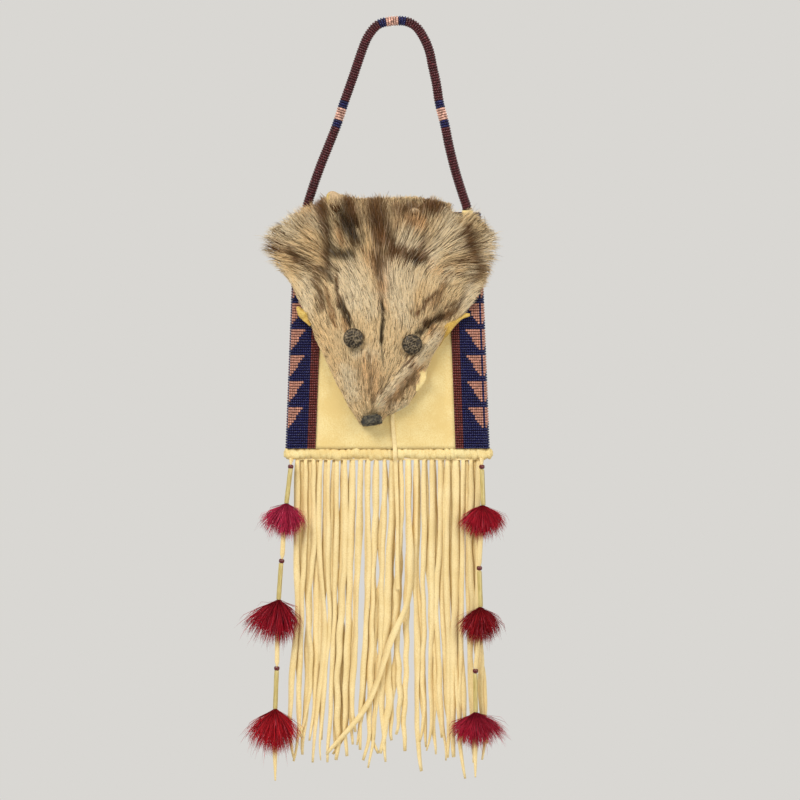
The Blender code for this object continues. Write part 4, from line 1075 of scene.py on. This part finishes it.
skin = merged_copy("fur_flap", "face_skin", skin_coat, cuts=2)
points = vertex_array(skin)
normals = np.array([tuple(v.normal) for v in skin.data.vertices])
panel_y = np.array([front_y(panel_surface, x, max(min(z, MOUTH_Z - 0.001), BOTTOM_Z), -0.003)
                    for x, z in points[:, [0, 2]]])
depth_over_panel = panel_y - points[:, 1]
on_front = (normals[:, 1] < -0.2) & (depth_over_panel > THIN_SKIN)
on_roof = (normals[:, 2] > 0.3) & (points[:, 2] > MOUTH_Z)
sink = np.clip((depth_over_panel - THIN_SKIN) / 0.006, 0, 1) * FUR_SINK
relief = fold_relief(points)
points[:, 1] += np.where(on_front, sink - relief, 0)
points[:, 2] += np.where(on_roof & ~on_front, np.clip(relief, -0.001, 0.004) - 0.001, 0)
down = (MOUTH_Z - points[:, 2]) / MM
drawn_in = CHEEK_DRAW * np.exp(-((down - 26) / 17) ** 2)
points[:, 0] = BAG_X + (points[:, 0] - BAG_X) * (1 - drawn_in)
set_vertices(skin, points)
bpy.ops.object.select_all(action="DESELECT")
skin.select_set(True)
bpy.context.view_layer.objects.active = skin
rounder = skin.modifiers.new("rounder", "SUBSURF")
rounder.levels = 1
bpy.ops.object.modifier_apply(modifier="rounder")
points = vertex_array(skin)
normals = np.array([tuple(v.normal) for v in skin.data.vertices])
# The skin takes the fur's colours, with the same painted shade in its hollows and creases.
tint = np.clip(fur_colour_and_shade(points), 0, 0.8)
across, down = (points[:, 0] - BAG_X) / MM, (MOUTH_Z - points[:, 2]) / MM
for spot_x, spot_z, wide, high, shade in BALD_SPOTS:
    share = np.exp(-(((across - spot_x) / wide) ** 2 + ((down - spot_z) / high) ** 2) ** 2)
    tint += (rgb(shade) - tint) * share[:, None]
under = (normals[:, 1] > 0.35) & (points[:, 1] < 0.002)
tint[under] = rgb("#c9a857")
paint(skin, "fur_colour_and_shade", np.concatenate([tint, np.ones((len(tint), 1))], axis=1))
settle(skin, "flap", "fur", "fur_flap")
skin_surface = surface_finder(skin)

# Fur: guard hairs a fraction of a millimetre thick, dark at the root and paler or darker towards the tip.
# They lie short and flat on the muzzle, longer on the forehead, and flare off the cheeks and the top.
FUR_HAIRS = 33000
CLUMPS = 1900
RIDGE_TURN = 41
TOP_SINK = 3.2
# Down from the mouth in millimetres: how far hairs turn outwards at the edge in degrees, length in
# millimetres, and lift off the skin as a share of length.
FLOW = [
    (-12, 14, 9, 0.50), (0, 26, 13, 0.42), (8, 38, 17, 0.34), (15, 58, 18, 0.30), (28, 76, 18, 0.24),
    (42, 84, 16, 0.18), (60, 56, 13, 0.11), (84, 40, 10, 0.075), (110, 34, 8, 0.06),
    (135, 30, 6.5, 0.055), (160, 22, 4.5, 0.05),
]
# The fur's outline in millimetres: left and right by distance down, then the top by distance across.
SIDES = [
    (-20, -98, 84), (17, -98, 84), (28, -94, 81), (36, -88, 79), (45, -79, 74), (51, -73, 72),
    (58, -70, 70), (63, -69, 68), (75, -63, 61), (86, -57, 48), (96, -54, 42), (107, -49, 35),
    (118, -44, 30), (129, -39, 26), (138, -34, 21), (146, -30, 15), (153, -25, 2), (160, -22, -3),
]
TOP = [
    (-98, 17), (-91, 10), (-81, 4), (-71, -2), (-64, -7), (-55, -11), (-50, -13), (-30, -12), (-20, -9),
    (-8, -11), (10, -10), (20, -8), (28, -9), (35, -11), (41, -8), (46, -3), (55, 2), (62, -3), (69, -2),
    (75, 6), (84, 16),
]
# How light a hair is at its root, at two places along it and at its tip: forehead and muzzle.
# The dark roots are partly the coat's own colour and partly painted shade deep between the locks.
SHADE_ALONG = [(0.6, 0.95), (1.05, 1.20), (1.25, 1.30), (1.35, 1.35)]

# Guard hair: smooth, a little shiny and soft against the light, each hair coloured from root to tip.
fur_hair = painted_material("guard_hair", "hair_colour", Roughness=0.5, Specular_IOR_Level=0.12,
                            Sheen_Weight=0.35, Sheen_Roughness=0.5, Sheen_Tint=linear("#ecc88c"))

flow_down, flow_turn, flow_length, flow_lift = (np.array(column, float) for column in zip(*FLOW))
side_down, side_left, side_right = (np.array(column, float) for column in zip(*SIDES))
top_across, top_down = (np.array(column, float) for column in zip(*TOP))


def flap_edges(down):
    """The flap's left and right edges, in millimetres across, at a distance down from the mouth."""
    return np.interp(down, edge_down, edge_left), np.interp(down, edge_down, edge_right)


edge_down = np.arange(-6, 160, 4.0)
edge_left, edge_right = [], []
for d in edge_down:
    near = np.abs(down - d) < 5
    edge_left.append(across[near].min())
    edge_right.append(across[near].max())


def scatter_on(obj, points, count, rng, wanted):
    """Random places on a mesh's wanted faces, spread evenly by area, with the normals there."""
    mesh = obj.data
    mesh.calc_loop_triangles()
    corners = np.array([t.vertices for t in mesh.loop_triangles])
    a, b, c = (points[corners[:, k]] for k in range(3))
    crossed = np.cross(b - a, c - a)
    area = np.linalg.norm(crossed, axis=1) / 2
    facing = crossed / np.maximum(2 * area[:, None], 1e-12)
    middle = (a + b + c) / 3
    weight = area * wanted(middle, facing)
    pick = rng.choice(len(corners), count, p=weight / weight.sum())
    u, v = rng.random(count), rng.random(count)
    u, v = np.where(u + v > 1, 1 - u, u), np.where(u + v > 1, 1 - v, v)
    return a[pick] + (b - a)[pick] * u[:, None] + (c - a)[pick] * v[:, None], facing[pick]


def hair_density(middle, facing):
    """Where hairs root: the fur side, fewer where they are long, none on the bald spots."""
    x, d = (middle[:, 0] - BAG_X) / MM, (MOUTH_Z - middle[:, 2]) / MM
    fur_side = ((facing[:, 1] < -0.05) | (facing[:, 2] > 0.25)).astype(float)
    fur_side *= (middle[:, 1] < 0.0045)
    for spot_x, spot_z, wide, high, _ in BALD_SPOTS:
        fur_side *= 1 - np.exp(-(((x - spot_x) / wide) ** 2 + ((d - spot_z) / high) ** 2) ** 3)
    return fur_side * np.interp(d, [-15, 0, 40, 90, 160], [1.5, 1.2, 1.0, 1.25, 1.8])


rng = np.random.default_rng(8)
roots, facing = scatter_on(skin, points, FUR_HAIRS, rng, hair_density)
x, d = (roots[:, 0] - BAG_X) / MM, (MOUTH_Z - roots[:, 2]) / MM
left, right = flap_edges(d)
share = np.clip((2 * x - left - right) / (right - left), -1, 1)
turn = np.radians(np.interp(d, flow_down, flow_turn)) * np.sign(share) * np.abs(share) ** 0.85
unruly = rng.normal(0, 5, FUR_HAIRS) + 9 * soft_waves(roots, 14, 9)
unruly += np.interp(d, [0, 12, 24], [14, 14, 0]) * rng.normal(0, 1, FUR_HAIRS)
turn += np.radians(unruly)
length = np.interp(d, flow_down, flow_length) * MM * rng.uniform(0.7, 1.2, FUR_HAIRS)
length *= 1 + 0.30 * np.abs(share) ** 3 * (d < 60)
lift = np.interp(d, flow_down, flow_lift) * rng.uniform(0.6, 1.4, FUR_HAIRS)
by_ridge = np.exp(-(line_distance(x, d, MUZZLE_RIDGE) / 5.5) ** 2)
turn += (np.radians(RIDGE_TURN + rng.normal(0, 3, FUR_HAIRS)) - turn) * by_ridge
flow = np.stack([np.sin(turn), np.zeros(FUR_HAIRS), np.cos(turn)], axis=1)
flow = unit(flow - facing * np.sum(flow * facing, axis=1, keepdims=True) + 1e-6)
on_top = facing[:, 2] > 0.55
lean = rng.normal(-0.25, 0.3, on_top.sum())
flow[on_top] = unit(np.stack([np.sin(turn[on_top]), lean, np.full(on_top.sum(), 0.75)], axis=1))
run = length[:, None]
# What would reach past the fur's own outline is shorter, but for a stray end here and there.
stray = np.abs(rng.normal(0, 2.4, FUR_HAIRS))
for cut in (0.88, 0.86, 0.84, 0.82, 0.8, 0.78, 0.75):
    ahead = roots + run * (flow + 0.55 * lift[:, None] * facing)
    ahead_x, ahead_d = (ahead[:, 0] - BAG_X) / MM, (MOUTH_Z - ahead[:, 2]) / MM
    spare = stray * np.interp(ahead_d, [50, 70], [1, 0.35])
    past = ahead_x < np.interp(ahead_d, side_down, side_left) - spare
    past |= ahead_x > np.interp(ahead_d, side_down, side_right) + spare
    past |= ahead_d < np.interp(ahead_x, top_across, top_down) + TOP_SINK - 1.1 * stray
    run = np.where(past[:, None], run * cut, run)
middles = roots + run * (0.36 * flow + 0.36 * lift[:, None] * facing)
ends = roots + run * (0.70 * flow + 0.52 * lift[:, None] * facing)
tips = roots + run * (flow + 0.55 * lift[:, None] * facing)
tips[:, 2] -= 0.12 * length * np.abs(share) ** 2

clump_roots = roots[rng.choice(FUR_HAIRS, CLUMPS, replace=False)]
tree_of_clumps = KDTree(CLUMPS)
for i, spot in enumerate(clump_roots):
    tree_of_clumps.insert(spot, i)
tree_of_clumps.balance()
home = np.array([tree_of_clumps.find(spot)[1] for spot in roots])
pull = clump_roots[home] - roots
together = np.interp(d, [45, 75], [0.62, 0.22])[:, None]
ends += pull * together * 0.5
tips += pull * together


def above_skin(spots, least):
    """Lifts what dips into the skin out to its front side."""
    for i, (x, y, z) in enumerate(spots):
        hit = skin_surface.ray_cast(Vector((x, -0.2, z)), Vector((0, 1, 0)))[0]
        if hit is not None and y > hit.y - least and y < hit.y + 0.012:
            spots[i, 1] = hit.y - least


above_skin(middles, 0.0006)
above_skin(ends, 0.0010)
above_skin(tips, 0.0012)

# Locks of hair take their colour together, so the patches meet in a ragged edge.
lock_shift = rng.normal(0, 1, (CLUMPS, 3))[home] * (0.0010, 0, 0.0020)
coat = np.stack([fur_colour_and_shade(spots * 0.65 + ends * 0.35 + lock_shift)
                 for spots in (roots, middles, ends, tips)], axis=1)
locks = soft_waves(roots * (1, 0, 0.16), 130, 12) * 0.20 + soft_waves(roots * (1, 0, 0.12), 380, 13) * 0.20
clump_shade = np.exp(rng.normal(0, 0.16, CLUMPS)[home] + rng.normal(0, 0.14, FUR_HAIRS) + locks + 0.22)
along = np.stack([np.interp(d, [20, 70], pair) for pair in SHADE_ALONG], axis=1)
colours = np.ones((FUR_HAIRS, 4, 4))
colours[:, :, :3] = coat * clump_shade[:, None, None] * along[:, :, None]
dark_tip = rng.random(FUR_HAIRS) < np.interp(d, [-10, 40, 60, 160], [0.20, 0.20, 0.10, 0.10])
colours[dark_tip, 1:, :3] = rgb(BROWN) * 1.1
pale = (rng.random(FUR_HAIRS) < np.interp(d, [40, 80], [0.14, 0.05])) & ~dark_tip
colours[pale, 1:, :3] = colours[pale, 1:, :3] * 1.5 + 0.10
widths = np.interp(d, [-10, 40, 100, 160], [0.00030, 0.00033, 0.00029, 0.00026])
widths = widths * rng.uniform(0.7, 1.3, FUR_HAIRS)
colours[:, :, :3] *= np.minimum(1, 0.93 / colours[:, :, :3].max(axis=2, keepdims=True))
for name, some in zip(("crown_fur", "brow_fur", "muzzle_fur"), np.array_split(np.argsort(d), 3)):
    fur = hair_tufts(name, roots[some], middles[some], ends[some], tips[some], widths[some],
                     colours[some], fur_hair)
    settle(fur, "flap", "fur")

# Nose leather: a small dry lump at the muzzle's tip, grey black and cracked.
NOSE_WIDTH, NOSE_DEPTH, NOSE_HEIGHT = 0.0144, 0.0064, 0.0078
NOSE_TILT = 0.10
bpy.ops.object.select_all(action="DESELECT")
bpy.ops.mesh.primitive_ico_sphere_add(subdivisions=5, radius=1.0)
nose = bpy.context.object
nose.name = "nose_leather"
nose_y = front_y(skin_surface, BAG_X - 0.0126, MOUTH_Z - 0.1530, -0.016)
points = vertex_array(nose)
rough = 1 + 0.09 * soft_waves(points, 1.1, 31) + 0.05 * soft_waves(points, 3.0, 32)
points = np.sign(points) * np.abs(points) ** 0.62 * rough[:, None]
points = points * (NOSE_WIDTH / 2, NOSE_DEPTH / 2, NOSE_HEIGHT / 2)
points[:, 2] += points[:, 0] * NOSE_TILT
set_vertices(nose, points + (BAG_X - 0.0127, nose_y - 0.0008, MOUTH_Z - 0.1557))
bpy.ops.object.shade_smooth()
# Dried nose leather: nearly black with a dull grey bloom on what stands up, and cracks under 1 mm apart.
nose_skin, tree, shader = principled("dried_nose_leather", Roughness=0.6)
place = add_node(tree, "ShaderNodeTexCoord").outputs["Object"]
cells = add_node(tree, "ShaderNodeTexVoronoi", {"Vector": place, "Scale": 1300.0},
                 feature="DISTANCE_TO_EDGE")
crumbs = add_node(tree, "ShaderNodeTexNoise", {"Vector": place, "Scale": 600.0, "Detail": 4.0})
bloom = add_node(tree, "ShaderNodeValToRGB", {"Fac": crumbs.outputs["Fac"]})
bloom_stops = ((0.4, "#1a150d"), (0.72, "#6a6149"))
for stop, (position, colour) in zip(bloom.color_ramp.elements, bloom_stops):
    stop.position = position
    stop.color = linear(colour)
tree.links.new(bloom.outputs["Color"], shader.inputs["Base Color"])
crack = add_node(tree, "ShaderNodeBump",
                 {"Height": cells.outputs["Distance"], "Strength": 0.7, "Distance": 0.0005})
tree.links.new(crack.outputs["Normal"], shader.inputs["Normal"])
nose.data.materials.append(nose_skin)
settle(nose, "flap", "fur")

# Eye buttons: cast pewter domes with a worn bossed face inside a plain rim, dark in the hollows.
BOSS_RISE = 0.00034
RIM_RISE = 0.00025
pewter, tree, shader = principled("dark_pewter", Metallic=0.6, Roughness=0.38)
worn = add_node(tree, "ShaderNodeAttribute", attribute_name="button_height")
worn_colours = add_node(tree, "ShaderNodeValToRGB", {"Fac": worn.outputs["Fac"]})
worn_stops = ((0.12, "#2f281f"), (0.95, "#7d6d54"))
for stop, (position, colour) in zip(worn_colours.color_ramp.elements, worn_stops):
    stop.position = position
    stop.color = linear(colour)
tree.links.new(worn_colours.outputs["Color"], shader.inputs["Base Color"])
place = add_node(tree, "ShaderNodeTexCoord").outputs["Object"]
pits = add_node(tree, "ShaderNodeTexNoise", {"Vector": place, "Scale": 1500.0, "Detail": 4.0})
lift = add_node(tree, "ShaderNodeBump",
                {"Height": pits.outputs["Fac"], "Strength": 0.35, "Distance": 0.0002})
tree.links.new(lift.outputs["Normal"], shader.inputs["Normal"])


def eye_button(node, name, seed):
    """A dome of rings from its rim to its middle, closed by a flat back that is slightly smaller."""
    low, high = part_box(node)
    centre, radius, tall = (low + high) / 2, (high.x - low.x) / 2, high.y - low.y
    rings, around = 44, 128
    share = np.repeat(np.linspace(0, 1, rings), around)
    turn = np.tile(2 * np.pi * np.arange(around) / around, rings)
    across = np.cos(share * np.pi / 2) ** 0.8
    disc = np.stack([across * np.cos(turn), 0 * turn, across * np.sin(turn)], axis=1)
    hollows, grain = np.abs(soft_waves(disc, 2.5, seed)), soft_waves(disc, 4.0, seed + 1)
    bosses = np.clip(0.7 - 1.7 * hollows + 0.45 * grain, -1, 1)
    inside = np.clip((share - 0.12) / 0.10, 0, 1)
    relief = BOSS_RISE * bosses * inside + RIM_RISE * np.exp(-((share - 0.10) / 0.05) ** 2)
    out = tall * (0.28 + 0.64 * np.sin(share * np.pi / 2)) + relief
    points = np.stack([centre.x + radius * disc[:, 0], high.y - out, centre.z + radius * disc[:, 2]],
                      axis=1)
    back = points[:around] * (1, 0, 1) + (0, high.y, 0)
    back = back + (np.array(centre) * (1, 0, 1) - back * (1, 0, 1)) * 0.06
    heights = np.concatenate([np.zeros(around), 0.5 + 0.38 * bosses * inside])
    faces = [tube_faces(rings + 1, around), end_faces(rings + 1, around)]
    button = mesh_object(name, np.concatenate([back, points]), faces, pewter)
    outward(button)
    layer = button.data.attributes.new("button_height", "FLOAT", "POINT")
    layer.data.foreach_set("value", heights.astype(np.float32))
    settle(button, "flap", "pewter", node)


eye_button("left_eye_button", "left_bossed_button", 51)
eye_button("right_eye_button", "right_bossed_button", 61)

# Bare edges of the face skin: where the hide curls forward it shows its cream and yellow flesh side,
# at both cheeks' lower corners and beside the muzzle. Each runs along places across and down in
# millimetres.
CURL_THICKNESS = 0.0013
curl_hide = hide_material("bare_yellow_hide", "#e3c673", "#ba9343")
CURLED_EDGES = [
    ("left_cheek_curl", [(-68, 71), (-65, 75), (-61, 79), (-58, 85)], 8.0, curl_hide),
    ("right_cheek_curl", [(61, 77), (54, 78), (47, 83), (41.5, 91), (37.5, 100)], 8.0, curl_hide),
    ("muzzle_curl", [(29, 117), (26, 121), (24, 127), (21, 134)], 7.0, panel_hide),
]
for name, places, width, hide in CURLED_EDGES:
    path = []
    for x, z in places:
        px, pz = BAG_X + x * MM, MOUTH_Z - z * MM
        skin_front = front_y(skin_surface, px, pz, -0.008)
        path.append((px, min(skin_front, front_y(panel_surface, px, pz, -0.004) - 0.003) - 0.0006, pz))
    line = smooth_route(path, 0.0008)
    bell = np.sin(np.linspace(0.25, math.pi - 0.25, len(line)))
    twist = 0.5 * np.sin(np.linspace(0, 9, len(line)))
    facing = np.stack([0.2 + twist, -np.ones(len(line)), 0.6 * twist], axis=1)
    thicknesses = np.full(len(line), CURL_THICKNESS)
    curl = strip_object(name, [(line, width * MM * bell, thicknesses, facing)], hide)
    settle(curl, "flap", "fur")

# Ears: two leaves of skin dried stiff and worn bare, tan outside; the left one stands up out of the fur.
EAR_HALF_THICKNESS = 0.0030
# Across, down, half width, half height, and how far it leans to the right at its top.
EARS = [("left_ear", -38.2, -6.2, 7.4, 7.2, -0.10), ("right_ear", 19.6, 1.8, 4.4, 3.2, 0.2)]
for name, across, down, wide, high, lean in EARS:
    bpy.ops.object.select_all(action="DESELECT")
    bpy.ops.mesh.primitive_ico_sphere_add(subdivisions=5, radius=1.0)
    ear = bpy.context.object
    ear.name = name
    points = vertex_array(ear)
    points[:, 2] -= 0.16 * points[:, 0] * (points[:, 2] > 0)
    points[:, 0] *= 1 - 0.22 * np.clip(-points[:, 2], 0, 1)
    points[:, 1] += 0.35 * points[:, 0] ** 2 - 0.5 * np.clip(-points[:, 2], 0, 1)
    points *= 1 + 0.09 * soft_waves(points, 0.7, 71)[:, None]
    points[:, 0] += lean * points[:, 2]
    ear_y = front_y(skin_surface, BAG_X + across * MM, MOUTH_Z - max(down, -5) * MM, -0.009)
    size = (wide * MM, EAR_HALF_THICKNESS, high * MM)
    set_vertices(ear, points * size + (BAG_X + across * MM, ear_y - 0.0016, MOUTH_Z - down * MM))
    bpy.ops.object.shade_smooth()
    # Painted shade: each ear is brown at its foot, where it sinks into the fur, and tan towards its top; its
    # cut edge is yellow.
    height = np.clip((points[:, 2] + 0.45) / 0.9, 0, 1)[:, None]
    cut_edge = np.clip(-points[:, 0] * 3 - 1.9, 0, 1)[:, None]
    tint = rgb(BROWN) * (1 - height) + rgb("#d8b990") * height
    tint += (rgb("#dabc64") - tint) * cut_edge
    ear.data.materials.append(skin_coat)
    paint(ear, "fur_colour_and_shade", np.concatenate([tint, np.ones((len(tint), 1))], axis=1))
    settle(ear, "flap", "fur")

# Hinge seam: waxed thread whipped over the back panel's top edge, which holds the flap's skin to it.
# One slanting stitch about every 4 mm, seen from behind.
STITCH_PITCH = 0.0040
THREAD_THICKNESS = 0.0006
seam_half = half_top - 0.016
stitches = []
for x in np.arange(-seam_half, seam_half, STITCH_PITCH):
    path = [(BAG_X + x, 0.0030, MOUTH_Z - 0.0042), (BAG_X + x + 0.0002, 0.0046, MOUTH_Z - 0.0036),
            (BAG_X + x + 0.0008, 0.0047, MOUTH_Z - 0.0012), (BAG_X + x + 0.0012, 0.0040, MOUTH_Z + 0.0002),
            (BAG_X + x + 0.0014, 0.0024, MOUTH_Z + 0.0004)]
    line = smooth_route(path, 0.0006)
    thread = np.full(len(line), THREAD_THICKNESS)
    stitches.append((line, thread, thread, np.tile((0.0, 1.0, 0.3), (len(line), 1))))
hinge_seam = strip_object("hinge_seam", stitches, dark_thread, sides=6)
outward(hinge_seam)
settle(hinge_seam, "pouch", "pouch_hide")

# Strap tabs: a hide thong doubled over each end of the rope and sewn down to the bag's corner, widest
# at its top.
TAB_WIDTH = 0.0088
TAB_THICKNESS = 0.0014
for node, name in (("strap_tab_left", "left_tab_loop"), ("strap_tab_right", "right_tab_loop")):
    low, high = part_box(node)
    middle = (low.x + high.x) / 2
    path = [(middle, low.y + 0.0006, low.z), (middle, low.y + 0.0005, (low.z + high.z) / 2),
            (middle, low.y + 0.0004, high.z - 0.006), (middle, low.y + 0.0012, high.z - 0.004)]
    line = smooth_route(path, 0.0008)
    bell = TAB_WIDTH * np.linspace(0.62, 1.0, len(line))
    facing = np.tile((0.0, -1.0, 0.0), (len(line), 1))
    loop = strip_object(name, [(line, bell, np.full(len(line), TAB_THICKNESS), facing)], lacing_hide)
    settle(loop, "pouch", "lacing_hide", node)
